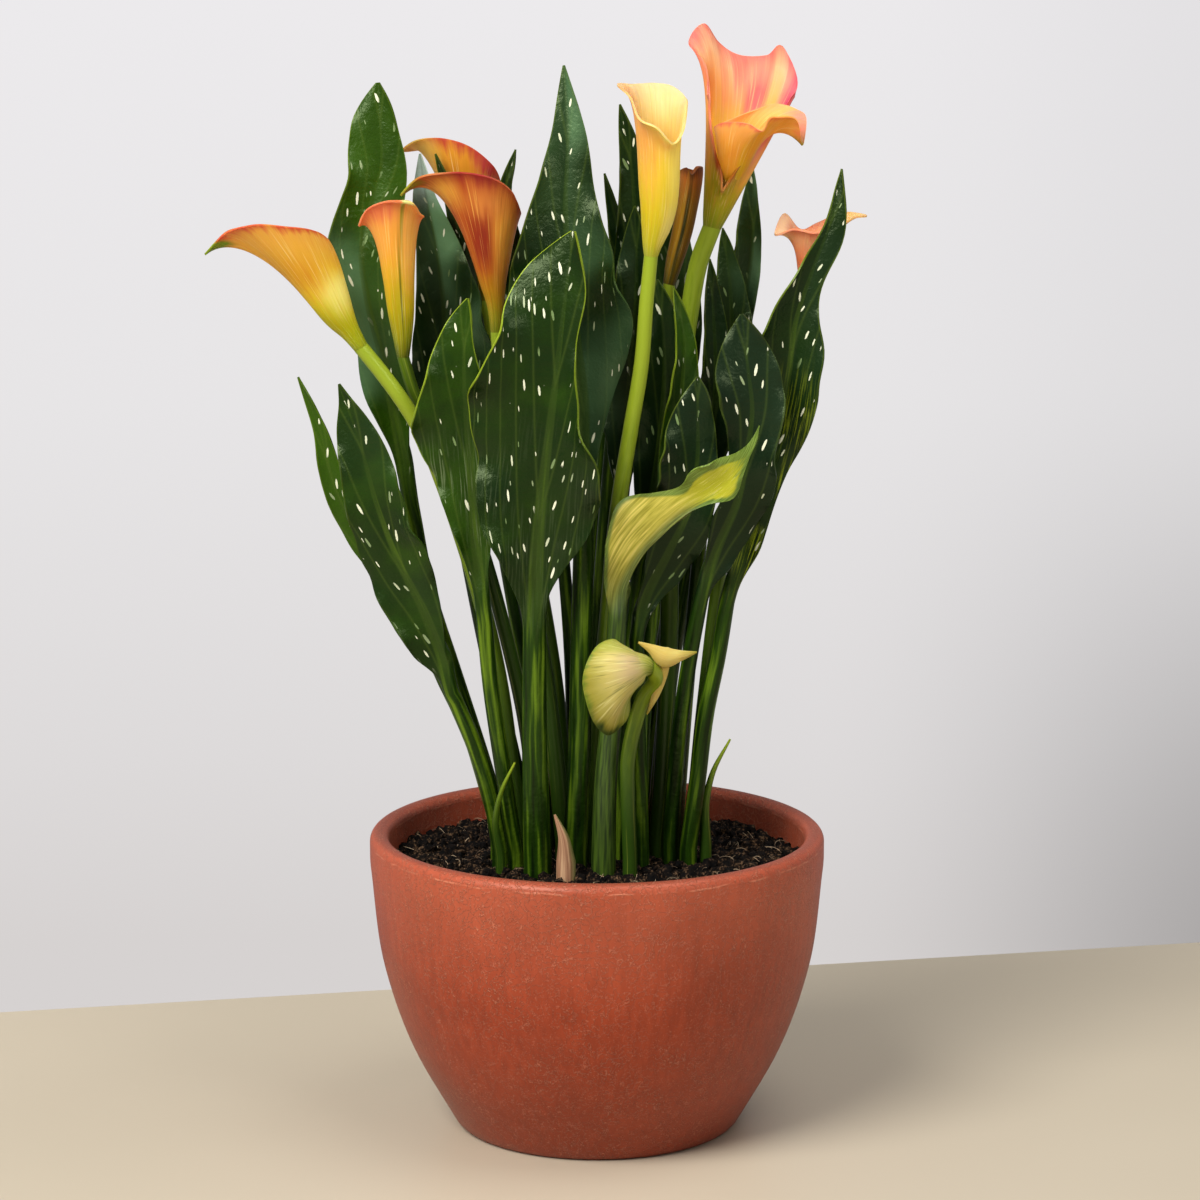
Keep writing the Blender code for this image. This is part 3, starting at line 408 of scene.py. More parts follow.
def hair_tree(nodes, given):
    """Short bent root hairs scattered over the ground."""
    points = nodes.add("GeometryNodeDistributePointsOnFaces", None,
                       {"Mesh": given["Ground"], "Density": given["Density"], "Seed": given["Seed"]})
    line = nodes.add("GeometryNodeCurveArc", None, {"Resolution": 9, "Radius": 1.0, "Sweep Angle": 2.6})
    section = nodes.add("GeometryNodeCurvePrimitiveCircle", None,
                        {"Resolution": 3, "Radius": ROOT_HAIR_RADIUS})
    hair = nodes.add("GeometryNodeCurveToMesh", None,
                     {"Curve": line, "Profile Curve": section, "Fill Caps": True})
    turn = nodes.add("FunctionNodeRandomValue", {"data_type": "FLOAT_VECTOR"},
                     {0: (-1.0, -1.0, 0.0), 1: (1.0, 1.0, 6.28), "Seed": 21})
    even = nodes.add("FunctionNodeRandomValue", {"data_type": "FLOAT"}, {2: 0.0, 3: 1.0, "Seed": 22}, 1)
    size = given["Shortest"] + (given["Longest"] - given["Shortest"]) * even * even
    hairs = nodes.add("GeometryNodeInstanceOnPoints", None,
                      {"Points": points, "Instance": hair, "Rotation": turn, "Scale": size})
    return nodes.add("GeometryNodeSetPosition", None, {"Geometry": hairs, "Offset": (0.0, 0.0, 0.0006)})


ground_profile = [(0, SOIL_LOW_Z), *SOIL_SIDE]
ground_profile += [(SOIL_RADIUS * share, SOIL_EDGE_Z) for share in np.linspace(1, 0.015, SOIL_RINGS)]
points, faces = turned([*ground_profile, (0, SOIL_EDGE_Z)], SOIL_SIDES)
points = np.array([(x, y, soil_top(x, y) if z >= SOIL_EDGE_Z else z) for x, y, z in points])
peat_finish = peat()
piece("soil", points, faces, peat_finish, "soil")
scatter = placed("soil_scatter", bpy.data.meshes.new("soil_scatter"))
top = [face for face in faces if min(points[i][2] for i in face) > SCATTER_Z]
scatter.data.from_pydata((points * MM).tolist(), [], top)
crumb_sizes = {"Smallest": 0.0005, "Largest": 0.005, "Roughness": 0.0016}
crumbs = grown("soil_crumbs", scatter, peat_finish, {"Density": 230000.0, "Seed": 4, **crumb_sizes},
               crumb_tree)
hairs = grown("soil_root_hairs", scatter, root_hair(),
              {"Density": 34000.0, "Seed": 9, "Shortest": 0.001, "Longest": 0.005}, hair_tree)
bpy.data.objects.remove(scatter)


# Leaves. Each is one growth: a round stalk out of the soil that opens into a blade with a raised rib under
# its middle and waved margins. The blade is deep green, with pale dashes that lie along the side veins.
BLADE_THICKNESS = 0.8
BLADE_STATIONS = (0.0, 0.12, 0.28, 0.44, 0.58, 0.72, 0.86, 0.95, 1.0)
BLADE_ROWS = 64
BLADE_HALF_COLUMNS = 12
STALK_ROWS = 16
ROOT_Z = 102.3
COLLAR_Z = 134.0


def lance(width):
    """Half widths of a plain lance-shaped blade at the stations."""
    return tuple(width * share for share in (0.14, 0.42, 0.8, 1.0, 0.94, 0.76, 0.46, 0.2, 0.0))


SLIM = (2.5, 4, 7, 7, 6, 5, 3, 1.5, 0)

# In each leaf's row, root is where its stalk enters the soil, radius the stalk's at its foot and top, path
# its line up to the tip, and blade_at the point of the path where the blade begins, 2 where it isn't said.
# left and right are half widths at BLADE_STATIONS, seen from the front of the leaf. face is the way the
# blade looks, at its base and at its tip: 0 is -Y, 90 is +X. fold is how far each half of the blade is
# raised.
LEAVES = {
    "leaf_front": dict(
        root=(-27, -34), radius=(6.4, 5.2), face=(0, -25), fold=16,
        path=((-28, -37, 180), (-28, -40, 236), (-26, -46, 287), (-22, -50, 323), (-18, -51, 355),
              (-14, -50, 390), (-10, -46, 421)),
        left=(5, 10, 26, 32, 38, 29, 23, 12, 0), right=(5, 7, 23, 27, 15, 8, 9.5, 5, 0),
    ),
    "leaf_front_left": dict(
        root=(-37, -25), radius=(3.7, 3.6), blade_at=3, face=(-8, -15), fold=12,
        path=((-43, -30, 176), (-48, -34, 214), (-51, -36, 250), (-54, -37, 279), (-56, -37, 307),
              (-58, -37, 335), (-59, -37, 362), (-57, -36, 390)),
        left=(4, 5, 11, 18, 25, 19, 12, 6, 0), right=(4, 5, 9, 13, 12, 9, 4, 2, 0),
    ),
    "leaf_left": dict(
        root=(-44, -16), radius=(4.2, 3.6), blade_at=3, face=(-15, -20), fold=12,
        path=((-46, -18, 147), (-54, -20, 178), (-66, -22, 208), (-71, -24, 227), (-78, -26, 246),
              (-89, -28, 269), (-98, -28, 293), (-107, -26, 326), (-116, -22, 350)),
        left=(3, 11, 16, 17, 15, 12.5, 9, 3, 0), right=(3, 3, 9, 16, 16, 13, 8, 3, 0),
    ),
    "leaf_far_left": dict(
        root=(-46, -3), radius=(3.2, 2.8), blade_at=3, face=(-25, -30), fold=14,
        path=((-50, -5, 158), (-58, -8, 184), (-69, -10, 208), (-82, -12, 235), (-95, -13, 258),
              (-108, -14, 278), (-119, -15, 303), (-125, -15, 328), (-135, -14, 352)),
        left=(2.5, 3, 5, 6, 6, 5, 3, 1.5, 0), right=(2.5, 3, 6, 9, 8, 6, 3, 1.5, 0),
    ),
    "leaf_tall_left": dict(
        root=(-44, 9), radius=(4.8, 3.8), blade_at=4, face=(-12, -5), fold=14,
        path=((-54, 8, 170), (-67, 6, 213), (-78, 5, 250), (-85, 4, 290), (-90, 3, 320), (-97, 3, 357),
              (-104, 6, 384), (-106.5, 9, 407), (-103, 12, 424), (-97.5, 14, 443), (-98, 17, 465),
              (-99, 20, 482)),
        left=(3.5, 4, 12, 10, 16, 14, 15, 9, 0), right=(3.5, 4, 10, 15, 17, 15, 9, 5, 0),
    ),
    "leaf_left_back": dict(
        root=(-32, 14), radius=(4.5, 3.8), blade_at=3, face=(-8, -10), fold=14,
        path=((-41, 15, 175), (-52, 16, 227), (-63, 20, 283), (-68, 24, 323), (-69, 26, 364),
              (-71, 27, 387), (-74, 28, 410), (-78, 29, 429), (-81, 30, 449)),
        left=(3.5, 7, 17, 17, 13, 10, 7, 3, 0), right=(3.5, 7, 18, 23, 21, 12, 5, 2, 0),
    ),
    "leaf_tall_middle": dict(
        root=(-10, -22), radius=(5.6, 4.6), blade_at=3, face=(-4, -10), fold=15,
        path=((-8, -24, 180), (-7, -24, 232), (-6, -24, 279), (-6, -23, 315), (-6, -22, 342),
              (-9, -20, 368), (-12, -18, 395), (-14, -14, 425), (-13, -9, 460), (-15, -2, 491)),
        left=(4, 7, 20, 30, 26, 15, 7, 3, 0), right=(4, 5, 12, 28, 24, 14, 8, 3, 0),
    ),
    "leaf_right": dict(
        root=(42, -15), radius=(4.0, 3.6), blade_at=4, face=(12, 0), fold=22,
        path=((46, -15, 165), (50, -15, 198), (55, -15, 223), (59, -16, 249), (66, -17, 272),
              (78, -19, 314), (86, -21, 355), (89, -22, 378), (96, -22, 400), (105, -19, 425),
              (109, -16, 446)),
        left=(3, 6, 12, 19, 19, 10, 2.5, 1.5, 0), right=(3, 7, 8, 15, 16, 7, 8, 3, 0),
    ),
    "leaf_right_middle": dict(
        root=(34, -8), radius=(4.0, 3.4), blade_at=3, face=(8, 0), fold=10,
        path=((37, -11, 180), (42, -18, 222), (47, -22, 251), (54, -27, 275), (63, -32, 298),
              (67, -36, 321), (69, -38, 340), (67, -38, 358), (64, -35, 383)),
        left=(3, 3, 8, 6, 10, 16, 13, 6, 0), right=(3, 8, 12, 15, 13, 15, 12, 5, 0),
    ),
    "leaf_inner_low": dict(
        root=(20, -17), radius=(4.0, 3.4), face=(5, 0), fold=12,
        path=((19, -18, 190), (18, -20, 232), (22, -21, 251), (32, -23, 272), (42, -26, 295),
              (45, -28, 316), (45, -29, 338), (45, -28, 354)),
        left=(3, 3, 8, 14, 17, 18, 12, 5, 0), right=(3, 5, 11, 13, 11, 9, 7, 4, 0),
    ),
    "leaf_inner_curled": dict(
        root=(19, -5), radius=(4.0, 3.4), face=(10, 20), fold=20,
        path=((21, -8, 190), (26, -12, 262), (33, -16, 300), (38, -17, 345), (39, -17, 370),
              (34, -16, 393)),
        left=lance(8), right=lance(9),
    ),
    "leaf_inner_dark": dict(
        root=(9, -7), radius=(4.0, 3.4), face=(0, 5), fold=16,
        path=((12, -7, 190), (19, -7, 262), (26, -6, 300), (30, -5, 338), (30, -5, 370), (27, -5, 395)),
        left=lance(12), right=lance(16),
    ),
    "leaf_middle_back": dict(
        root=(3, 5), radius=(4.2, 3.4), face=(-5, -5), fold=14,
        path=((5, 6, 200), (11, 7, 290), (14, 7, 330), (17, 7, 370), (18, 7, 400), (17, 7, 427)),
        left=lance(15), right=lance(12),
    ),
    "leaf_behind_yellow": dict(
        root=(-2, 19), radius=(4.0, 3.4), face=(-5, -10), fold=16,
        path=((0, 19, 220), (8, 19, 330), (13, 19, 370), (17, 19, 410), (16, 18, 440), (10, 17, 472)),
        left=lance(9), right=lance(12),
    ),
    "leaf_slim_back": dict(
        root=(-7, 33), radius=(3.4, 2.8), face=(-10, -15), fold=16,
        path=((-4, 33, 220), (5, 33, 330), (10, 33, 370), (14, 33, 405), (15, 32, 430), (13, 31, 450)),
        left=lance(8), right=lance(9),
    ),
    "leaf_slim_left": dict(
        root=(9, 20), radius=(3.8, 3.0), face=(-20, -25), fold=20,
        path=((9, 24, 220), (12, 27, 330), (14, 27, 365), (12, 26, 400), (8, 26, 420), (3, 25, 440)),
        left=lance(6), right=lance(6),
    ),
    "leaf_right_back": dict(
        root=(22, 24), radius=(4.6, 3.8), face=(12, 5), fold=18,
        path=((30, 27, 210), (46, 29, 300), (56, 29, 335), (65, 28, 370), (71, 28, 405), (71, 28, 443)),
        left=lance(14), right=lance(6),
    ),
    "leaf_right_lower": dict(
        root=(27, 13), radius=(4.2, 3.6), face=(8, 10), fold=16,
        path=((34, 15, 210), (49, 18, 290), (56, 18, 325), (61, 18, 355), (61, 18, 385), (57, 18, 416)),
        left=lance(11), right=lance(11),
    ),
    "leaf_right_slim": dict(
        root=(36, 5), radius=(3.8, 3.2), face=(10, 10), fold=18,
        path=((41, 6, 200), (47, 6, 270), (51, 6, 310), (54, 6, 345), (53, 7, 375), (51, 8, 403)),
        left=lance(8), right=lance(9),
    ),
    "leaf_slim_tip": dict(
        root=(-11, 24), radius=(3.4, 2.8), face=(0, 0), fold=20,
        path=((-12, 24, 210), (-21, 25, 320), (-30, 26, 365), (-38, 26, 400), (-42, 26, 430),
              (-37, 27, 451)),
        left=SLIM, right=SLIM,
    ),
    "leaf_behind_blooms": dict(
        root=(-21, 17), radius=(3.4, 2.8), face=(-10, -15), fold=18,
        path=((-34, 26, 210), (-50, 38, 300), (-56, 40, 340), (-60, 36, 390), (-66, 29, 425),
              (-74, 26, 449)),
        left=SLIM, right=SLIM,
    ),
    "leaf_back_middle": dict(
        root=(23, 37), radius=(4.2, 3.4), face=(180, 175), fold=16,
        path=((27, 42, 210), (32, 48, 300), (34, 50, 340), (35, 50, 380), (34, 49, 415), (34, 47, 440)),
        left=lance(14), right=lance(14),
    ),
    "leaf_back_left": dict(
        root=(-22, 39), radius=(4.4, 3.8), face=(195, 195), fold=16,
        path=((-26, 46, 200), (-36, 58, 275), (-40, 64, 310), (-42, 68, 345), (-38, 68, 380),
              (-32, 66, 412)),
        left=lance(20), right=lance(19),
    ),
    "leaf_back_right": dict(
        root=(9, 41), radius=(4.4, 3.8), face=(175, 170), fold=16,
        path=((10, 50, 200), (8, 62, 270), (6, 66, 300), (4, 68, 330), (2, 68, 358), (0, 66, 388)),
        left=lance(18), right=lance(19),
    ),
    "leaf_pale_curled": dict(
        root=(3, -36), radius=(5.6, 4.2), blade_at=3, face=(5, 10), fold=8,
        path=((4, -35, 170), (8, -32, 215), (9, -31, 243), (11, -32, 259), (18, -36, 273), (28, -40, 285),
              (39, -44, 295), (51, -47, 303), (61, -49, 312), (68, -50, 323), (72, -50, 335)),
        stations=(0, 0.12, 0.28, 0.4, 0.5, 0.58, 0.65, 0.72, 0.8, 0.86, 0.95, 1),
        left=(4.6, 7.6, 17, 22.5, 15, 11, 15.5, 15.5, 11.5, 5.5, 1.2, 0),
        right=(3.5, 3, 2, 2, 1.8, 1.8, 3.4, 7.6, 3.2, 1.2, 0.8, 0),
    ),
}

# Looks of the leaves that differ from the plain ones. tone runs from blue-green (0) to yellow-green (1),
# margin is how bright the edge is, sheen how strong the milky painted sheen on its right half is (below 0,
# on its left half; from 2.5 up its tip also gets a painted pale reflection), and stripes how strong its
# lengthwise stripes are, which are grey-green, or yellow at hue 1.
PLAIN_LOOKS = dict(tone=0.3, margin=0.15, sheen=0.1, stripes=0.0, hue=0.0)
LEAF_LOOKS = {
    "leaf_front": dict(tone=0.42, margin=1.0, sheen=0.0, stripes=0.15),
    "leaf_front_left": dict(tone=0.6, margin=0.8, sheen=0.0, stripes=1.0),
    "leaf_left": dict(tone=0.5, margin=0.1),
    "leaf_far_left": dict(tone=0.9, margin=0.2, sheen=0.0),
    "leaf_tall_left": dict(tone=0.7, margin=0.2, sheen=-1.5),
    "leaf_left_back": dict(tone=0.4, margin=0.1, sheen=2.6),
    "leaf_tall_middle": dict(tone=0.35, sheen=1.0),
    "leaf_right": dict(tone=0.35, margin=0.3, stripes=1.0, hue=1.0),
    "leaf_right_middle": dict(tone=0.0, margin=0.1),
    "leaf_right_back": dict(tone=0.4, sheen=1.9),
    "leaf_right_lower": dict(tone=0.4, sheen=0.7),
    "leaf_middle_back": dict(sheen=-1.0),
    "leaf_inner_low": dict(tone=0.15, margin=0.2),
    "leaf_inner_curled": dict(tone=0.6, margin=0.6),
}


def unit(vectors):
    """Vectors of length one."""
    vectors = np.asarray(vectors, float)
    return vectors / np.linalg.norm(vectors, axis=-1, keepdims=True)


def square_to(vectors, along):
    """The part of each vector that is square to a direction, at length one."""
    return unit(vectors - np.sum(vectors * along, axis=-1, keepdims=True) * along)


def line_lengths(knots):
    """Distance of each knot along the line."""
    steps = np.linalg.norm(np.diff(knots, axis=0), axis=1)
    return np.concatenate(([0.0], np.cumsum(steps)))


def circle(centre, across, forward, radius, angles):
    """Points round a centre, at angles from across towards forward."""
    angles = np.radians(angles)
    sideways, onward = radius * np.cos(angles), radius * np.sin(angles)
    return centre + np.multiply.outer(sideways, across) + np.multiply.outer(onward, forward)


def skin(rings):
    """Faces over rings that follow each other, each counter-clockwise as seen from the last one."""
    count = len(rings[0])
    faces = [tuple(reversed(range(count)))]
    for row in range(len(rings) - 1):
        low, high = row * count, (row + 1) * count
        faces += [(low + here, low + (here + 1) % count, high + (here + 1) % count, high + here)
                  for here in range(count)]
    last = (len(rings) - 1) * count
    faces.append(tuple(last + here for here in range(count)))
    return np.concatenate(rings), faces


def stalk_line(root, path, shares, end=None):
    """Middles of a stalk at shares of its line, and the way ahead, across and to the front at each."""
    knots = np.array([(*root, COLLAR_Z), *path], float)
    at = line_lengths(knots)
    where = np.asarray(shares) * at[-1]
    centres = smooth(at, knots, where)
    ahead = unit(smooth(at, knots, where + 0.5) - smooth(at, knots, np.maximum(where - 0.5, 0)))
    ahead[0] = (0, 0, 1)
    if end is not None:
        ahead[-1] = unit(end)
    front = square_to(np.array((0, -1.0, 0)), ahead)
    return centres, ahead, np.cross(ahead, front), front, at[-1]


BLADE_COLUMNS = np.linspace(-1, 1, 2 * BLADE_HALF_COLUMNS + 1)
LEAF_ROUND = np.concatenate((90 - 84 * BLADE_COLUMNS, 270 - 84 * BLADE_COLUMNS))  # angles round the stalk
RIB_ROUNDING = 0.1  # share of each half over which the blade turns up from its rib
RUFFLE, RIPPLE = 30, 16  # degrees that the margins wave by, in long waves and in short ones
WAVES = 2.0  # long waves from foot to tip
OPENING = 0.14  # share of the blade over which the round stalk opens flat
LAST_ROW = 0.994  # share of the blade at its last row of points
NARROWEST = 0.25  # half width at the tip
FAR_INSIDE = 9.0  # what the stalk has as its distance from a margin
SUNK = 25  # how far under the collar the foot's row is taken to be, for the finish


def blade_row(centre, across, front, left, right, fold, phase):
    """One row of points over a blade, from its left edge to its right edge."""
    halves = []
    for side, width in ((-1, left), (1, right)):
        middles = (np.arange(BLADE_HALF_COLUMNS) + 0.5) / BLADE_HALF_COLUMNS
        lean = fold * np.minimum(middles / RIB_ROUNDING, 1) + RUFFLE * math.sin(phase + side) * middles
        lean = np.radians(lean + RIPPLE * math.sin(3.7 * phase + 2.1 * side) * middles ** 3)
        steps = width / BLADE_HALF_COLUMNS * (np.multiply.outer(side * np.cos(lean), across)
                                              + np.multiply.outer(np.sin(lean), front))
        halves.append(centre + np.cumsum(steps, axis=0))
    return np.concatenate((halves[0][::-1], [centre], halves[1]))


def leaf(name, finish, slot, seed, looks, root, radius, path, left, right, face, fold, blade_at=2,
         stations=BLADE_STATIONS):
    """One leaf, with what its finish reads. place is how far across, along and in from the margin a point
    is, form is share of the blade, distance in ribs, and underside. Its looks are two marks: its seed, tone
    and margin, then the strength of its painted sheen, of its stripes, and their hue."""
    knots = np.array([(*root, COLLAR_Z), *path], float)
    at = line_lengths(knots)
    length = at[-1] - at[blade_at]
    stalk_shares = np.linspace(0, 1, STALK_ROWS + 1)[:-1]
    centres, ahead, across, front, stalk_length = stalk_line(root, path[:blade_at], stalk_shares)
    # The stalk's rings start where those of a blade that looks back do.
    stalk_round = LEAF_ROUND - 180 * round(face[0] / 180)
    sizes = radius[0] + (radius[1] - radius[0]) * stalk_shares
    rows = [circle(np.array((*root, ROOT_Z)), across[0], front[0], radius[0], stalk_round)]
    rows += [circle(centres[i], across[i], front[i], sizes[i], stalk_round) for i in range(STALK_ROWS)]
    both = np.concatenate((BLADE_COLUMNS, BLADE_COLUMNS[::-1]))
    under = (np.arange(len(both)) >= len(BLADE_COLUMNS)).astype(float)
    girth = 0.5 * math.pi * radius[1]
    place = [np.stack((both * girth, np.full(len(both), along), np.full(len(both), FAR_INSIDE)), axis=1)
             for along in (-stalk_length - SUNK, *(stalk_shares - 1) * stalk_length)]
    form = [np.stack((np.full(len(both), share - 1), np.abs(both), under), axis=1)
            for share in (-0.2, *stalk_shares)]
    shares = np.concatenate((np.linspace(0, 1, BLADE_ROWS + 1)[:-1], (LAST_ROW,)))
    centres = smooth(at, knots, at[blade_at] + shares * length)
    ahead = unit(np.gradient(centres, axis=0))
    turn = np.radians(face[0] + (face[1] - face[0]) * shares)
    front = square_to(np.stack((np.sin(turn), -np.cos(turn), np.zeros_like(turn)), axis=1), ahead)
    across = np.cross(ahead, front)
    sides = [np.maximum(smooth(stations, half, shares), NARROWEST) for half in (left, right)]
    grid = np.array([
        blade_row(centres[i], across[i], front[i], sides[0][i], sides[1][i], fold,
                  2 * math.pi * WAVES * shares[i])
        for i in range(len(shares))
    ])
    normals = unit(np.cross(np.gradient(grid, axis=1), np.gradient(grid, axis=0)))
    width = np.where(BLADE_COLUMNS < 0, sides[0][:, None], sides[1][:, None])
    reach = width * BLADE_COLUMNS
    rib = (0.9 * radius[1] * (1 - shares) ** 1.2 + 0.5)[:, None]
    keel = (radius[1] * 1.6 - BLADE_THICKNESS) * (1 - shares) ** 2
    rounded = np.sqrt(np.maximum(0, 1 - (reach / rib) ** 2))
    below = grid - normals * (BLADE_THICKNESS + keel[:, None] * rounded)[:, :, None]
    opened = np.clip(shares / OPENING, 0, 1)
    opened = opened * opened * (3 - 2 * opened)
    for i, share in enumerate(shares):
        round_ring = circle(centres[i], across[i], front[i], radius[1], LEAF_ROUND)
        flat_ring = np.concatenate((grid[i], below[i][::-1]))
        rows.append(round_ring + (flat_ring - round_ring) * opened[i])
        side_reach = both * girth * (1 - opened[i]) + np.concatenate((reach[i], reach[i][::-1])) * opened[i]
        inward = np.concatenate((width[i], width[i][::-1])) * (1 - np.abs(both))
        inward = inward + FAR_INSIDE * (1 - opened[i])
        place.append(np.stack((side_reach, np.full(len(both), share * length), inward), axis=1))
        form.append(np.stack((np.full(len(both), share), np.abs(side_reach) / rib[i], under), axis=1))
    points, faces = skin(rows)
    marks = {"place": np.concatenate(place), "form": np.concatenate(form),
             "looks": np.tile((seed, looks["tone"], looks["margin"]), (len(points), 1)),
             "wax": np.tile((looks["sheen"], looks["stripes"], looks["hue"]), (len(points), 1))}
    return piece(name, points, faces, finish, slot, marks)


def leaf_green():
    """A waxy, deep green leaf with milky patches of painted sheen, and a painted pale reflection at the tip
    of a leaf of high sheen. Side veins curve up from its rib, with loose groups of pale dashes.
    """
    leaf = Finish("leaf_green")
    here = leaf.here()
    across, along, inward = leaf.parts(leaf.mark("place"))
    seed, tone, margin = leaf.parts(leaf.mark("looks"))
    sheen, stripes, hue = leaf.parts(leaf.mark("wax"))
    share, ribs, under = leaf.parts(leaf.mark("form"))
    aside = abs(across)
    blade = along.rise(-6, 16)
    vein_line = along - aside * (3.0 + 0.08 * aside) + 5.0 * leaf.noise(here, 30, 2)
    vein = (vein_line - aside * 2.5).wave(60.0) ** 30
    rib = ribs.rise(0.95, 0.6) * (1 - 0.6 * share.rise(0.3, 0.9))
    cloud = leaf.noise(here, 45, 3)
    fresh = (tone + 0.6 * (cloud - 0.5)).rise(0, 1)
    green = leaf.ramp(fresh, (0.0, (11, 27, 14)), (0.45, (19, 41, 4)), (1.0, (46, 78, 0)))
    green = leaf.blend(green, (62, 90, 40), under * 0.4)
    green = leaf.blend(green, (96, 116, 44), vein * 0.16)
    streak = leaf.noise(leaf.vector(across * 0.6 + seed, along * 0.03, under * 9), 1.0, 3)
    # Painted sheen: milky patches that stand in for the glossy reflection of the light, mostly on one half.
    painted_sheen = abs(sheen) * (0.15 + 0.85 * (across * sheen).rise(-1.5, 2.5))
    painted_sheen = painted_sheen * leaf.noise(here, 17, 2).rise(0.42, 0.66)
    green = leaf.blend(green, (98, 136, 94), painted_sheen * share.rise(0.1, 0.35) * 0.55)
    # Painted reflection: a pale tip on a leaf of the highest sheen.
    green = leaf.blend(green, (190, 212, 198), sheen.rise(2.4, 2.6) * share.rise(0.82, 0.95) * 0.8)
    fine = leaf.noise(leaf.vector(across * 1.1 + seed, along * 0.04, under * 9), 1.0, 3)
    stripe = fine.rise(0.5, 0.62) * stripes * share.rise(0.62, 0.3)
    stripe = stripe * leaf.noise(here, 40, 1).rise(0.35, 0.6)
    green = leaf.blend(green, leaf.blend((120, 134, 96), (150, 166, 34), hue), stripe * 0.8)
    bark = leaf.noise(leaf.vector(across * 0.32 + seed, along * 0.02, under * 9), 1.0, 2)
    stem = leaf.ramp(bark * 0.85 + tone * 0.12, (0.32, (9, 24, 2)), (0.48, (30, 56, 4)),
                     (0.64, (98, 126, 26)))
    colour = leaf.blend(stem, green, blade)
    colour = leaf.blend(colour, leaf.blend(stem, (64, 84, 28), blade * 0.6), rib * blade * 0.55)
    side = across.rise(-0.01, 0.01) * 40 + under * 90 + seed * 7.31
    cell = {"Vector": leaf.vector(vein_line / 16 + side, along / 17 + seed * 3.17), "Scale": 1.0}
    flat = {"voronoi_dimensions": "2D"}
    gap = leaf.add("ShaderNodeTexVoronoi", flat, cell)
    odds, size, glow = leaf.parts(leaf.add("ShaderNodeTexVoronoi", flat, cell, "Color"))
    ragged = gap + 0.06 * (leaf.noise(here, 1300, 1) - 0.5)
    grouped = (odds + 2.0 * (leaf.noise(here, 24, 1) - 0.5)).rise(0.42, 0.44)
    dash = (ragged - 0.045 - 0.12 * size).rise(0.012, -0.012) * grouped * share.rise(0.06, 0.16)
    dash = dash * (1 - rib) * inward.rise(0.8, 1.6) * (1 - 0.6 * under)
    colour = leaf.blend(colour, leaf.blend((112, 134, 84), (232, 234, 204), glow.rise(0.1, 0.6)), dash)
    bright = inward.rise(0.65, 0.3) * margin * share.rise(0.3, 0.75) * across.rise(2.0, -1.0).most(0.5)
    colour = leaf.blend(colour, (158, 180, 44), bright * 0.85)
    relief = leaf.noise(here, 240, 3) + 0.4 * leaf.noise(here, 800, 2) + 0.1 * blade * vein
    return leaf.end(colour, 0.24 + 0.16 * cloud + 0.2 * dash, relief, 0.4,
                    {"Specular IOR Level": 0.27, "Specular Tint": (0.8, 1.0, 0.55, 1.0)})


green_leaf = leaf_green()
for seed, (name, values) in enumerate(LEAVES.items()):
    if name != "leaf_pale_curled":
        leaf(name, green_leaf, "leaf", seed, PLAIN_LOOKS | LEAF_LOOKS.get(name, {}), **values)


# Pale leaf. A late, half-folded leaf that has lost its green: cream and yellow, with green streaks along
# its left margin, its tip and the rolled right edge. It grows as the other leaves do.
def pale_yellow():
    """A cream-yellow leaf with green streaks, and a darker grey-green over its turned-back lower right half
    that is partly its underside and partly painted shade.
    """
    leaf = Finish("pale_yellow")
    here = leaf.here()
    across, along, inward = leaf.parts(leaf.mark("place"))
    share, _, under = leaf.parts(leaf.mark("form"))
    streak = leaf.noise(leaf.vector(across * 0.9, along * 0.05, under * 9), 1.0, 3)
    fine = leaf.noise(leaf.vector(across * 3.2, along * 0.08, 4), 1.0, 2)
    cream = leaf.ramp(streak, (0.33, (150, 144, 40)), (0.5, (190, 180, 68)), (0.66, (226, 210, 106)))
    cream = leaf.blend(cream, (184, 186, 20), share.rise(0.5, 0.66) * 0.85)
    cream = leaf.blend(cream, (226, 220, 110), fine.rise(0.56, 0.66) * share.rise(0.5, 0.66) * 0.8)
    edge = (inward - 0.7 - 3.2 * share.rise(0.45, 0.65) - 1.6 * streak).rise(1.0, -0.6)
    edge = edge * across.rise(2, -2) * 0.85
    tip = (share + 0.03 * across.rise(-6, 6) * 2 + 0.24 * (fine - 0.5)).rise(0.81, 0.88)
    # Turned-back lower right half: its grey-green is partly the underside and partly painted shade.
    folded_shade = (across + 3.0 * (streak - 0.5)).rise(-3.5, 1.0) * share.rise(0.66, 0.5)
    green = leaf.blend((56, 92, 26), (112, 146, 62), fine.rise(0.4, 0.64))
    stem = leaf.blend((26, 44, 8), (68, 92, 24), streak.rise(0.3, 0.7))
    right_edge = (inward - 0.6 - 2.4 * streak).rise(1.1, -0.5) * across.rise(0, 1.4) * share.rise(0.46, 0.6)
    colour = leaf.blend(cream, green, edge.most(tip * 0.9).most(right_edge * 0.9))
    shaded = leaf.blend((50, 72, 24), (108, 124, 62), fine.rise(0.4, 0.64))
    colour = leaf.blend(colour, shaded, folded_shade * 0.85)
    colour = leaf.blend(stem, colour, along.rise(0, 34))
    colour = leaf.blend(colour, (76, 92, 18), fine.rise(0.64, 0.7) * along.rise(20, 40) * 0.5)
    return leaf.end(colour, 0.4, streak * 0.5 + fine * 0.4, 0.3, {"Specular IOR Level": 0.4})


leaf("leaf_pale_curled", pale_yellow(), "pale_leaf", 0, PLAIN_LOOKS, **LEAVES["leaf_pale_curled"])


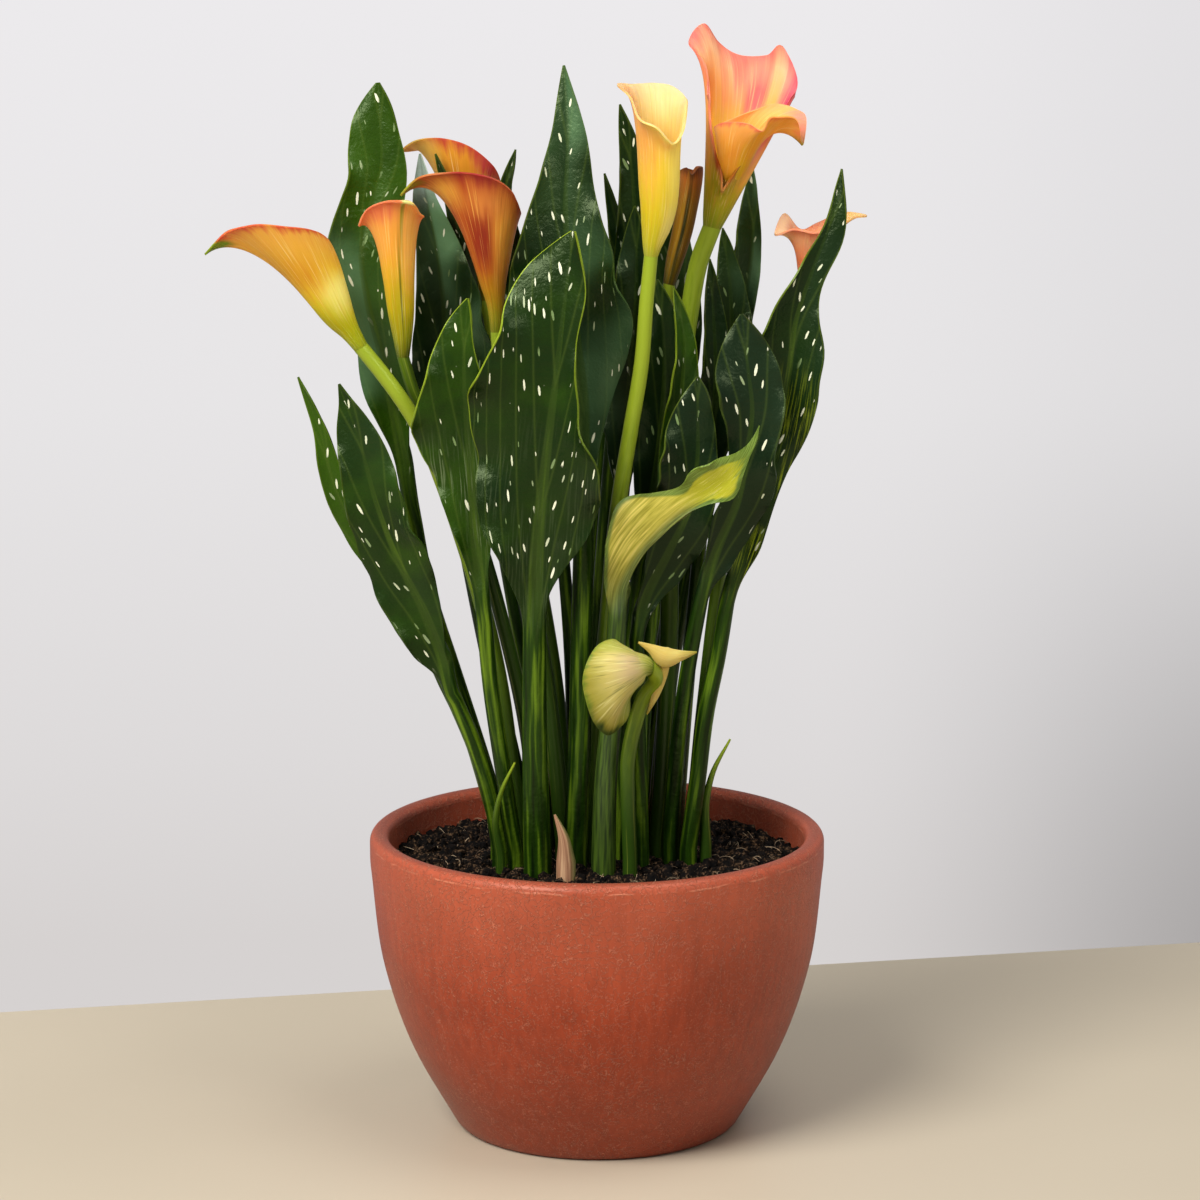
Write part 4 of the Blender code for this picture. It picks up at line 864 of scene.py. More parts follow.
# Bloom stalks. Each is round and fleshy, smooth and yellow-green under its bloom and darker below, with
# fine paler lines along it, and stands in the soil among the leaves.
BLOOM_STALK_ROWS = 48
BLOOM_STALK_ROUND = np.linspace(180, -180, 28, endpoint=False)
STALKS = {
    "bloom_far_left": dict(
        root=(-36, -11), radius=(4.0, 3.4), spathe="bloom_far_left_spathe",
        path=((-40, -12, 177), (-45, -13, 214), (-53, -16, 251), (-61, -19, 279), (-70, -21, 306),
              (-77, -22, 324), (-86, -23, 340), (-96, -23, 354)),
    ),
    "bloom_small_left": dict(
        root=(-27, -3), radius=(3.6, 2.8), spathe="bloom_small_left_spathe",
        path=((-33, -3, 190), (-42, -3, 232), (-54, -5, 276), (-66, -8, 309), (-75, -11, 329),
              (-82, -13, 343)),
    ),
    "bloom_red_left": dict(
        root=(-15, -7), radius=(4.2, 3.0), spathe="bloom_red_left_spathe",
        path=((-22, -7, 200), (-33, -5, 270), (-42, -1, 330)),
    ),
    "bloom_behind_left": dict(
        root=(-14, 8), radius=(4.0, 3.0), spathe="bloom_behind_left_spathe",
        path=((-19, 18, 200), (-31, 34, 270), (-44, 44, 330)),
    ),
    "bloom_yellow": dict(
        root=(-2, -9), radius=(4.4, 3.1), spathe="bloom_yellow_spathe",
        path=((0, -10, 190), (4, -14, 231), (10, -24, 297), (15, -29, 329), (20, -33, 361), (22, -35, 388)),
    ),
    "bloom_double": dict(
        root=(28, 1), radius=(4.2, 4.2), spathe="bloom_double_back_spathe",
        path=((30, 1, 160), (33, 2, 228), (34, 2, 302), (38, 1, 348), (42, 0, 380), (46, -2, 402)),
    ),
    "bloom_middle_back": dict(
        root=(15, 7), radius=(3.8, 2.8), spathe="bloom_middle_back_spathe",
        path=((18, 10, 210), (26, 16, 310), (31, 17, 365)),
    ),
    "bloom_right": dict(
        root=(43, -4), radius=(3.0, 3.1), spathe="bloom_right_spathe",
        path=((49, -3, 200), (60, -1, 280), (74, 2, 330), (88, 6, 366)),
    ),
    "bloom_faded": dict(
        root=(15, -38), radius=(3.3, 3.5), spathe="bloom_faded_spathe",
        path=((14, -39, 162), (14, -40, 181), (17, -41, 197), (21, -43, 210), (26.5, -48, 220)),
    ),
}
PLAIN_STALK_TONE = 0.5
STALK_TONES = {"bloom_far_left": 0.85, "bloom_small_left": -0.8, "bloom_red_left": 0.2, "bloom_yellow": 0.9,
               "bloom_double": 0.3, "bloom_faded": 0.3}  # below 0.5 darker, above it yellower


def stalk(name, finish, slot, seed, tone, root, radius, path, end=None, rows=BLOOM_STALK_ROWS):
    """A round stalk, or a pointed shoot, with what its finish reads: how far round and along a point is."""
    shares = np.linspace(0, 1, rows)
    centres, ahead, across, front, length = stalk_line(root, path, shares, end)
    sizes = radius[0] + (radius[1] - radius[0]) * shares
    rings = [circle(np.array((*root, ROOT_Z)), across[0], front[0], radius[0], BLOOM_STALK_ROUND)]
    rings += [circle(centres[i], across[i], front[i], sizes[i], BLOOM_STALK_ROUND) for i in range(rows)]
    points, faces = skin(rings)
    turn = np.radians(BLOOM_STALK_ROUND)
    place = [np.stack((np.cos(turn), np.sin(turn), np.full(len(turn), along)), axis=1)
             for along in (-30, *(shares * length))]
    looks = np.tile((seed, tone, length), (len(points), 1))
    return piece(name, points, faces, finish, slot, {"place": np.concatenate(place), "looks": looks})


def stalk_green():
    """A fleshy stalk, yellow-green at its top and deeper green towards the soil."""
    stem = Finish("stalk_green")
    across, front, along = stem.parts(stem.mark("place"))
    seed, tone, length = stem.parts(stem.mark("looks"))
    streak = stem.noise(stem.vector(across * 2.4 + seed, front * 2.4, along * 0.012), 1.0, 3)
    mottle = stem.noise(stem.vector(across * 2 + seed, front * 2, along * 0.09), 1.0, 3)
    height = (along / length + 0.35 * (tone - 0.5) + 0.3 * (mottle - 0.5)).rise(0.1, 1.0)
    colour = stem.ramp(height, (0.0, (42, 68, 12)), (0.45, (80, 104, 16)), (0.8, (120, 142, 26)),
                       (1.0, (144, 162, 38)))
    low = height.rise(1.0, 0.7)
    colour = stem.blend(colour, (42, 66, 12), streak.rise(0.5, 0.34) * low * 0.5)
    colour = stem.blend(colour, (172, 182, 70), streak.rise(0.58, 0.72) * low * 0.35)
    return stem.end(colour, 0.36, streak * 0.6 + 0.5 * mottle, 0.2,
                    {"Specular IOR Level": 0.4, "Specular Tint": (0.9, 1.0, 0.7, 1.0)})


# Blooms. Each spathe is one thick petal rolled into a funnel, ribbed lengthwise inside its wall, olive at
# its foot and yellow, orange or pink above, with a flushed rim that curls back and a pointed tip.
SPATHE_THICKNESS = 0.9
SPATHE_COLUMNS = 96
TUBE_ROWS = 12
FLARE_ROWS = 22

# In each spathe's row, body is the middle and the radius of its tube from its foot up, and rim the angle
# round it, the point and the curl of its edge, which leans out late where late is high. spadix is the
# length of its spadix.
SPATHES = {
    "bloom_far_left_spathe": dict(
        spadix=26,
        body=((-105.4, -23, 365.8, 3.3), (-109.7, -23.5, 372.3, 4.4), (-114.5, -24, 379.5, 6.9),
              (-121.3, -24, 392.4, 10.1)),
        rim=((0, -119, -24, 414, 0), (45, -126, -12, 416, 2), (90, -140, -6, 417, 3),
             (135, -156, -10, 417, 4), (165, -167, -19, 415, 6), (180, -174, -24, 407, 9),
             (195, -167, -29, 415, 6), (225, -154, -37, 421, 3), (270, -136, -41, 421, 3),
             (315, -124, -36, 419, 2)),
    ),
    "bloom_small_left_spathe": dict(
        spadix=24,
        body=((-87, -15, 360.4, 2.8), (-87.2, -15, 369.8, 4.4), (-87.8, -15, 381.4, 6),
              (-88.5, -15, 393.9, 6.9), (-89.1, -15, 404.5, 8)),
        rim=((0, -77, -13, 423, 3), (45, -83, -4, 425, 0), (90, -92, 0, 425, 0), (135, -100, -3, 425, 0),
             (165, -105, -9, 423, 2), (180, -106, -15, 419, 6), (215, -102, -24, 427, 3),
             (250, -93, -30, 431, 4), (275, -87, -33, 431, 8), (300, -81, -35, 430, 9),
             (320, -79, -28, 426, 5)),
    ),
    "bloom_red_left_spathe": dict(
        spadix=26,
        body=((-45.2, 1, 369.8, 3), (-45.8, 1.5, 382.4, 4), (-46.9, 2, 391.9, 6), (-47.8, 3, 404.9, 9.3)),
        rim=((0, -34, 4, 423, 0), (45, -39, 18, 430, 2), (90, -51, 24, 434, 3), (135, -69, 17, 436, 5),
             (165, -82, 8, 435, 8), (180, -88, 1, 431, 16), (195, -82, -5, 438, 8), (225, -68, -10, 442, 5),
             (270, -49, -16, 441, 3), (315, -38, -11, 434, 2)),
    ),
    "bloom_behind_left_spathe": dict(
        spadix=26,
        body=((-53.7, 46, 379.3, 3), (-54.5, 45, 393.3, 4), (-55.8, 44, 403.6, 6), (-57.1, 43, 416.6, 8.8)),
        rim=((0, -44, 42, 433, 0), (45, -48, 55, 438, 2), (90, -60, 60, 446, 3), (135, -73, 54, 449, 5),
             (165, -83, 47, 448, 8), (180, -89, 42, 448, 14), (195, -85, 37, 452, 8),
             (225, -75, 31, 455, 5), (270, -59, 26, 452, 3), (315, -47, 31, 442, 2)),
    ),
    "bloom_yellow_spathe": dict(
        spadix=30, late=0.9,
        body=((23.9, -35, 407.8, 3.1), (24.6, -35, 413.6, 4.6), (26.1, -35, 420.7, 6.6),
              (27.2, -35.5, 429.1, 8), (27.4, -36, 439.7, 9), (27.3, -36, 450.2, 9.4)),
        rim=((0, 40, -33, 474, 0), (30, 39, -25, 477, 0), (60, 33, -18, 481, 0), (90, 26, -16, 482, 0),
             (120, 20, -18, 482, 0), (150, 15, -23, 482, 1), (180, 9, -28, 482, 5), (205, 14, -42, 478, 1),
             (235, 18, -50, 469, 0), (270, 26, -54, 465, 0), (300, 33, -51, 458, 0),
             (330, 38, -44, 463, 0)),
    ),
    "bloom_double_back_spathe": dict(
        spadix=0, late=0.9,
        body=((51.7, -4, 417.8, 4.2), (52.8, -4, 422.2, 5.4), (53.9, -4, 426.2, 6.4)),
        rim=((0, 86, 2, 472, 0), (22, 90, 8, 483, 0), (40, 84, 14, 497, 2), (65, 77, 19, 493, 0),
             (90, 64, 21, 493, 0), (115, 54, 20, 499, 0), (135, 48, 17, 507, 0), (160, 41, 8, 499, 4),
             (185, 49, 0, 489, 0), (210, 50, -9, 466, 0), (230, 52.2, -14.5, 452, 0),
             (250, 55, -15.5, 443, 0), (268, 55.6, -15.5, 434.5, 0), (285, 59.6, -17, 440, 0),
             (303, 63.3, -19.5, 445.8, 0), (320, 69.3, -17.5, 450.7, 0), (340, 77, -5, 460, 0)),
    ),
    "bloom_double_front_spathe": dict(
        spadix=20,
        body=((55.6, -5, 427.5, 2.6), (59.4, -8, 439, 4.5), (61, -12, 446.5, 6.8), (62, -14, 452.7, 8.6)),
        rim=((0, 91, -18, 455, 9), (15, 93, -14, 465, 3), (40, 89, -9, 470, 2), (70, 79, -7, 473, 0),
             (100, 69, -7, 470, 0), (135, 59, -8, 466, 0), (180, 52, -14, 463, 0), (225, 56, -26, 466, 0),
             (270, 67, -31, 465.5, 0), (295, 74, -32, 463, 0), (306, 76, -31, 467.5, 0),
             (322, 80, -28.5, 468.2, 0), (345, 89, -23, 465.5, 3)),
    ),
    "bloom_middle_back_spathe": dict(
        spadix=0,
        body=((32.8, 17, 389.8, 2.8), (35.2, 17, 399.9, 3.9), (38.9, 17, 414.4, 4.7), (41.4, 17, 428, 5)),
        rim=((0, 48, 17, 443, 2), (45, 46, 22, 443, 0), (90, 44, 24, 441, 0), (135, 40, 22, 442, 0),
             (180, 37, 17, 441, 2), (225, 40, 12, 443, 0), (270, 43, 11, 440, 0), (315, 46, 12, 443, 0)),
    ),
    "bloom_right_spathe": dict(
        spadix=14,
        body=((94.3, 7, 386.8, 3.1), (94.5, 7, 394.1, 3.5), (95.5, 7, 400.9, 5.3)),
        rim=((0, 122, 9, 421, 4), (20, 117, 13, 422, 3), (60, 109, 17, 421, 2), (90, 101, 20, 417, 1),
             (135, 91, 17, 415, 0), (160, 84, 12, 422, 0), (180, 80, 4, 414, 3), (215, 88, -2, 416, 2),
             (270, 99, -6, 415, 1), (315, 110, -2, 418, 2), (345, 117, 4, 421, 3)),
    ),
    "bloom_faded_spathe": dict(
        spadix=0,
        body=((24.5, -53, 225.5, 2.8), (21, -54, 226.5, 5.5), (17, -55, 226, 8.5)),
        rim=((0, 7, -53, 239, 0), (45, 11, -49, 232, 0), (90, 7, -47, 219, 0), (135, 9, -49, 210, 0),
             (180, 15, -53, 209, 0), (210, 12, -57, 201, 0), (228, 5, -58, 196, 0), (245, -1, -61, 202, 0),
             (270, -6, -64, 218, 0), (300, -5, -64, 229, 0), (330, 0, -59, 237, 0)),
    ),
}

# Colours of each bloom. walls are the colours from its foot (0) to its rim (1), lining those inside where
# they differ. Each patch gives the angle and the share of the height that it lies at, how far it spreads in
# each, the colour and the strength. Most are patches of the bloom's own tint, and the few noted at them are
# painted light. lines is the strength of its pale lengthwise lines.
BLOOM_COLOURS = {
    "bloom_far_left_spathe": dict(
        slot="orange_spathe",
        walls=((0, (136, 150, 22)), (0.12, (166, 172, 6)), (0.3, (212, 196, 16)), (0.5, (228, 196, 44)),
               (0.72, (220, 172, 54)), (0.94, (224, 164, 66)), (1, (204, 84, 52))),
        # Painted highlight: the first patch, pale yellow, low on the front right.
        patches_and_painted_light=((320, 0.42, 55, 0.16, (255, 240, 140), 0.7), (225, 0.25, 60, 0.16, (172, 166, 2), 0.8),
                 (130, 0.97, 60, 0.06, (206, 80, 50), 0.8), (240, 0.62, 50, 0.18, (200, 138, 24), 0.7),
                 (180, 1.0, 9, 0.09, (112, 134, 20), 2.0)),
        lines=0.6,
    ),
    "bloom_small_left_spathe": dict(
        slot="orange_spathe",
        walls=((0, (64, 84, 4)), (0.14, (130, 136, 4)), (0.32, (188, 166, 10)), (0.6, (224, 166, 46)),
               (0.85, (232, 158, 64)), (1, (232, 128, 82))),
        patches_and_painted_light=((262, 0.3, 22, 0.3, (160, 150, 10), 0.7), (278, 0.4, 3.4, 0.4, (96, 96, 4), 1.0),
                 (287, 0.9, 4, 0.26, (130, 126, 10), 1.0), (291, 1.0, 9, 0.05, (206, 208, 130), 1.0),
                 (228, 0.97, 30, 0.07, (216, 98, 70), 0.8), (200, 0.8, 40, 0.16, (238, 170, 84), 0.5),
                 (318, 0.75, 24, 0.3, (252, 186, 92), 0.7)),
        lines=0.7,
    ),
    "bloom_red_left_spathe": dict(
        slot="red_spathe",
        walls=((0, (112, 120, 18)), (0.12, (150, 138, 20)), (0.26, (190, 134, 20)), (0.42, (192, 104, 26)),
               (0.7, (182, 88, 32)), (0.92, (168, 66, 32)), (1, (150, 38, 38))),
        patches_and_painted_light=((252, 0.6, 24, 0.18, (144, 42, 22), 1.0), (232, 0.82, 26, 0.1, (190, 106, 40), 0.7),
                 (186, 0.9, 34, 0.14, (234, 176, 70), 1.0), (150, 0.98, 60, 0.06, (166, 38, 40), 0.8),
                 # Painted light: the patch at 322 degrees lightens the right side, which lies in shade.
                 (180, 1.0, 14, 0.05, (150, 160, 50), 1.0), (322, 0.62, 34, 0.34, (246, 172, 66), 1.0),
                 (276, 0.84, 26, 0.1, (214, 136, 60), 0.7)),
        lines=1.0, veins=((240, 190, 90), (120, 40, 20)),
    ),
    "bloom_behind_left_spathe": dict(
        slot="orange_spathe",
        walls=((0, (132, 132, 22)), (0.3, (196, 148, 20)), (0.6, (206, 140, 20)), (0.92, (222, 154, 46)),
               (1, (186, 74, 50))),
        patches_and_painted_light=((188, 0.9, 30, 0.2, (246, 200, 92), 0.9), (322, 0.96, 34, 0.1, (206, 76, 74), 1.0),
                 # The patch at 352 degrees is the bloom's own peach, made lighter for the shade there:
                 # partly painted light.
                 (240, 0.74, 30, 0.14, (164, 98, 8), 0.7), (352, 0.8, 24, 0.2, (248, 180, 110), 0.9)),
        lines=0.7,
    ),
    "bloom_yellow_spathe": dict(
        slot="yellow_spathe",
        walls=((0, (160, 164, 44)), (0.1, (190, 178, 30)), (0.3, (212, 186, 30)), (0.6, (230, 194, 54)),
               (0.85, (234, 186, 88)), (1, (248, 218, 120))),
        lining=((0, (190, 176, 16)), (0.5, (228, 182, 44)), (0.75, (226, 190, 100)), (1, (228, 194, 140))),
        patches_and_painted_light=((200, 0.85, 40, 0.3, (232, 156, 100), 0.8), (232, 0.7, 34, 0.3, (226, 160, 66), 0.6),
                 (330, 0.6, 30, 0.4, (252, 222, 104), 0.8), (325, 0.22, 30, 0.14, (240, 216, 124), 0.7)),
        lines=0.6,
    ),
    "bloom_double_back_spathe": dict(
        slot="pink_spathe",
        walls=((0, (116, 134, 10)), (0.14, (148, 148, 8)), (0.3, (172, 156, 10)), (0.42, (204, 170, 28)),
               (0.55, (248, 176, 62)), (0.85, (244, 144, 88)), (1, (232, 112, 96))),
        lining=((0, (196, 140, 20)), (0.35, (250, 214, 70)), (0.52, (250, 204, 78)), (0.7, (244, 172, 90)),
                (0.88, (246, 184, 136)), (1, (226, 110, 100))),
        patches_and_painted_light=((14, 0.84, 15, 0.26, (190, 50, 92), 1.0), (70, 0.78, 13, 0.2, (220, 90, 92), 1.0),
                 (94, 0.9, 8, 0.16, (232, 116, 100), 0.8), (116, 0.84, 8, 0.2, (238, 134, 100), 0.6),
                 (160, 0.7, 20, 0.18, (226, 126, 56), 0.8), (205, 0.62, 40, 0.2, (246, 172, 60), 0.8),
                 (264, 0.62, 44, 0.5, (150, 142, 8), 1.0), (242, 1.0, 11, 0.16, (150, 68, 16), 1.0),
                 (298, 1.0, 16, 0.12, (168, 100, 18), 1.0)),
        lines=0.8, veins=((255, 206, 150), (226, 96, 84)),
    ),
    "bloom_double_front_spathe": dict(
        slot="pink_spathe",
        walls=((0, (172, 152, 8)), (0.2, (208, 164, 12)), (0.4, (222, 154, 34)), (0.75, (232, 160, 60)),
               (0.95, (240, 166, 86)), (1, (226, 116, 84))),
        lining=((0, (206, 154, 18)), (0.5, (230, 160, 36)), (0.85, (246, 172, 84)), (1, (246, 168, 104))),
        patches_and_painted_light=((296, 0.35, 14, 0.5, (216, 172, 8), 1.0), (3, 1.0, 7, 0.05, (84, 110, 22), 1.0),
                 (325, 0.75, 28, 0.35, (214, 150, 8), 0.9), (20, 0.98, 14, 0.08, (240, 132, 118), 0.8)),
        lines=0.7,
    ),
    "bloom_middle_back_spathe": dict(
        slot="amber_spathe",
        walls=((0, (88, 78, 6)), (0.3, (118, 82, 2)), (0.7, (142, 96, 6)), (0.93, (172, 98, 34)),
               (1, (104, 52, 26))),
        patches_and_painted_light=((270, 0.5, 9, 0.6, (30, 40, 6), 0.95), (250, 0.5, 8, 0.6, (160, 124, 22), 0.5),
                 (190, 0.5, 30, 0.5, (88, 62, 4), 0.6)),
        lines=0.4,
    ),
    "bloom_right_spathe": dict(
        slot="pink_spathe",
        walls=((0, (206, 90, 44)), (0.4, (226, 124, 80)), (0.8, (244, 168, 120)), (1, (236, 138, 104))),
        patches_and_painted_light=((0, 0.95, 40, 0.2, (248, 194, 124), 0.9), (172, 0.9, 26, 0.14, (252, 206, 162), 0.9),
                 (150, 0.7, 30, 0.2, (204, 96, 70), 0.6)),
        lines=0.5,
    ),
    "bloom_faded_spathe": dict(
        slot="faded_spathe",
        walls=((0, (92, 112, 26)), (0.15, (146, 154, 54)), (0.35, (192, 180, 100)), (0.75, (196, 182, 104)),
               (0.94, (160, 152, 58)), (1, (104, 124, 30))),
        patches_and_painted_light=((290, 0.5, 26, 0.2, (208, 178, 142), 0.7), (196, 0.6, 20, 0.6, (120, 142, 34), 0.9),
                 (345, 0.8, 20, 0.4, (150, 158, 58), 0.7), (232, 1.0, 18, 0.08, (44, 62, 24), 0.9)),
        lines=1.5, veins=((220, 212, 146), (54, 78, 10)),
    ),
}


def spathe_rings(body, rim, late, columns, shares, flares):
    """Rings of a funnel: up the outside of its tube, out to its rim and down its inside to its floor.
    columns are angles round it, shares places along the tube and flares places from the tube to the rim."""
    body = np.array(body, float)
    rim = np.array(rim, float)
    at = line_lengths(body[:, :3])

    def tube_ring(share):
        """The ring of the tube at that share of its length, and the way that the tube runs there."""
        where = share * at[-1]
        middle, before, after = (smooth(at, body[:, :3], where + step)[0] for step in (0, -0.4, 0.4))
        ahead = unit(after - before)
        near = square_to(np.array((0, -1.0, 0)), ahead)
        size = smooth(at, body[:, 3], where)[0]
        return circle(middle, np.cross(ahead, near), -near, size, columns), ahead

    outer = [tube_ring(share)[0] for share in shares]
    turned_rim = np.concatenate((rim[-3:, 0] - 360, rim[:, 0], rim[:3, 0] + 360))
    edge = smooth(turned_rim, np.concatenate((rim[-3:, 1:], rim[:, 1:], rim[:3, 1:])), columns)
    start, target, curl = outer[-1], edge[:, :3], edge[:, 3:]
    reach = np.linalg.norm(target - start, axis=1, keepdims=True)
    onward = unit(start - tube_ring(0.7)[0])
    straight = start + onward * 0.85 * np.sum((target - start) * onward, axis=1, keepdims=True)
    chord = target + 0.25 * (start - target)
    leave = start + onward * reach * 0.45
    arrive = chord + (straight - chord) * late + curl * tube_ring(1.0)[1]
    for flare in flares:
        rest = 1 - flare
        outer.append(rest ** 3 * start + 3 * rest * rest * flare * leave + 3 * rest * flare * flare * arrive
                     + flare ** 3 * target)
    outer = np.array(outer)
    round_edges = np.roll(outer, -1, axis=1) - np.roll(outer, 1, axis=1)
    normals = unit(np.cross(round_edges, np.gradient(outer, axis=0)))
    inner = outer - normals * SPATHE_THICKNESS
    return outer, inner


def spathe(name, finish, slot, body, rim, late=0.5):
    """A spathe, with what its finish reads: place is the way round as two numbers and the share of its
    height, and lining is 1 inside. Gives the middle of its floor and the way up from it."""
    columns = np.arange(SPATHE_COLUMNS) * 360 / SPATHE_COLUMNS
    shares = np.linspace(0, 1, TUBE_ROWS)
    flares = np.linspace(0, 1, FLARE_ROWS + 1)[1:] ** 0.9
    outer, inner = spathe_rings(body, rim, late, columns, shares, flares)
    steps = np.linalg.norm(np.diff(outer, axis=0), axis=2).mean(axis=1)
    up = np.concatenate(([0], np.cumsum(steps))) / steps.sum()
    rings = [*outer, *inner[:0:-1]]
    heights = np.concatenate((up, up[:0:-1]))
    inside = np.concatenate((np.zeros(len(up)), np.ones(len(up) - 1)))
    points, faces = skin(rings)
    turn = np.radians(columns)
    place = np.concatenate([np.stack((np.cos(turn), np.sin(turn), np.full(len(turn), height)), axis=1)
                            for height in heights])
    marks = {"place": place, "lining": np.repeat(inside, SPATHE_COLUMNS)}
    piece(name, points, faces, finish, slot, marks)
    ahead = unit(np.array(body[2][:3], float) - np.array(body[1][:3], float))
    floor = rings[-1].mean(axis=0)
    return floor + ahead * np.max((rings[-1] - floor) @ ahead), ahead


def petal(name, walls, patches_and_painted_light, lines, lining=None, veins=((255, 236, 170), (196, 96, 34))):
    """The soft wall of one bloom, ribbed from foot to rim."""
    wall = Finish(name.replace("spathe", "petal"))
    here = wall.here()
    east, north, up = wall.parts(wall.mark("place"))
    inner = wall.mark("lining", "Fac")
    way = wall.vector(east * 9, north * 9, up * 1.6)
    streak = wall.noise(way, 1.0, 4)
    fine = wall.noise(wall.vector(east * 26, north * 26, up * 2.2), 1.0, 2)
    cloud = wall.noise(here, 70, 3)
    high = up + 0.16 * (streak - 0.5) + 0.1 * (cloud - 0.5)
    colour = wall.ramp(high, *walls)
    if lining:
        colour = wall.blend(colour, wall.ramp(high, *lining), inner)
    for angle, share, spread, reach, tint, strength in patches_and_painted_light:
        middle = (math.cos(math.radians(angle)), math.sin(math.radians(angle)))
        facing = (east * middle[0] + north * middle[1]).rise(math.cos(math.radians(spread * 1.6)), 1.0)
        level = abs(high - share).rise(reach * 1.5, 0.0)
        colour = wall.blend(colour, tint, facing * level * strength * (0.4 + 1.2 * streak))
    colour = wall.blend(colour, veins[0], fine.rise(0.58, 0.68) * up.rise(1.0, 0.84) * lines * 0.5)
    colour = wall.blend(colour, veins[1], fine.rise(0.42, 0.3) * up.rise(1.0, 0.84) * lines * 0.35)
    relief = fine * 0.5 + streak * 0.5 + cloud * 0.3
    return wall.end(colour, 0.4 + 0.15 * cloud, relief, 0.3,
                    {"Subsurface Weight": 0.5, "Subsurface Radius": (1.0, 0.7, 0.3),
                     "Subsurface Scale": 0.003, "Specular IOR Level": 0.3,
                     "Specular Tint": (1.0, 0.9, 0.65, 1.0)})


green_stalk = stalk_green()
for seed, (name, values) in enumerate(STALKS.items()):
    foot, above = (np.array(row[:3], float) for row in SPATHES[values["spathe"]]["body"][:2])
    tone = STALK_TONES.get(name, PLAIN_STALK_TONE)
    stalk(name + "_stalk", green_stalk, "stalk", seed, tone, values["root"], values["radius"],
          (*values["path"], tuple(foot)), unit(above - foot))

floors = {}
for name, values in SPATHES.items():
    tints, shape = dict(BLOOM_COLOURS[name]), dict(values)
    slot, length = tints.pop("slot"), shape.pop("spadix")
    floors[name] = (*spathe(name, petal(name, **tints), slot, **shape), length)


# Faded flaps. The halves of the spent spathe that have torn free at its foot: thin, dry, beige and pointed,
# with streaks that run to their tips.
FADED_FLAPS = (  # the first points to the right, the second hangs
    dict(path=((18.5, -54, 237.5), (24.4, -53.5, 234.4), (30.6, -53, 230.6), (37, -52, 231),
               (44.6, -50, 232.2)),
         widths=(0.4, 2.2, 4.6, 2.6, 0.3)),
    dict(path=((30.5, -50, 228), (29.3, -49, 221.5), (26.8, -47.5, 213.5), (22.5, -46, 203)),
         widths=(2.4, 2.2, 1.8, 0.3)),
)
FLAP_ROWS = 40
FLAP_COLUMNS = 13
FLAP_THICKNESS = 0.9
FLAP_PLACE = (0.6, -0.8)  # where on a spathe its streaks are taken from


def flap(name, finish, slot, path, widths):
    """A thin pointed flap that faces the front."""
    knots = np.array(path, float)
    at = line_lengths(knots)
    where = np.linspace(0, at[-1], FLAP_ROWS)
    centres = smooth(at, knots, where)
    sizes = np.maximum(smooth(at, np.array(widths), where), 0.3)
    columns = np.linspace(-1, 1, FLAP_COLUMNS)
    rings = []
    for centre, ahead, size in zip(centres, unit(np.gradient(centres, axis=0)), sizes):
        across = unit(np.cross(ahead, (0, -1.0, 0)))
        bulge = np.outer((1 - columns ** 2) * size / 2, (0, 1.0, 0))
        line = centre + np.outer(columns, across) * size - bulge
        rings.append(np.concatenate((line, line[::-1] + (0, FLAP_THICKNESS, 0))))
    points, faces = skin([ring[::-1] for ring in rings])
    sideways = np.tile(np.concatenate((columns, columns[::-1])), FLAP_ROWS) * FLAP_PLACE[0]
    heights = np.repeat(np.linspace(0.3, 1, FLAP_ROWS), 2 * FLAP_COLUMNS)
    place = np.stack((sideways, np.full(len(points), FLAP_PLACE[1]), heights), axis=1)
    marks = {"place": place, "lining": np.zeros(len(points))}
    piece(name, points, faces, finish, slot, marks, stands_for=False)


dry_walls = ((0, (180, 152, 74)), (0.4, (200, 172, 88)), (0.8, (216, 190, 106)), (1, (150, 140, 50)))
dry_petal = petal("bloom_faded_flap_spathe", dry_walls, (), 0.4, veins=((232, 212, 140), (120, 110, 40)))
for name, values in zip(("bloom_faded_flap", "bloom_faded_strip"), FADED_FLAPS):
    flap(name, dry_petal, "faded_spathe", **values)


# Spadices. A finger-like, mealy yellow column stands on the floor of each open funnel. It is one fleshy
# growth, set all over with tiny blunt florets.
SPADIX_PROFILE = ((0, 1.2), (0.25, 2.1), (0.7, 2.0), (0.93, 1.3), (1, 0.3))  # share of height, and radius
SPADIX_ROWS = 24
SPADIX_ROUND = np.arange(0, 360, 20)
SPADIX_FOOT = 0.4  # above the floor


def floret_yellow():
    """Mealy golden yellow."""
    meal = Finish("floret_yellow")
    here = meal.here()
    speck = meal.noise(here, 1400, 2)
    colour = meal.ramp(speck, (0.35, (196, 138, 30)), (0.65, (244, 206, 92)))
    return meal.end(colour, 0.7, speck, 0.1)


def floret_tree(nodes, given):
    """Blunt florets, evenly set over a column."""
    points = nodes.add("GeometryNodeDistributePointsOnFaces", {"distribute_method": "POISSON"},
                       {"Mesh": given["Ground"], "Distance Min": given["Spacing"],
                        "Density Max": given["Most"], "Seed": given["Seed"]})
    floret = nodes.add("GeometryNodeMeshIcoSphere", None, {"Radius": given["Radius"], "Subdivisions": 1})
    florets = nodes.add("GeometryNodeInstanceOnPoints", None, {"Points": points, "Instance": floret})
    florets = nodes.add("GeometryNodeRealizeInstances", None, {0: florets})
    return nodes.add("GeometryNodeJoinGeometry", None, {0: [given["Ground"], florets]})


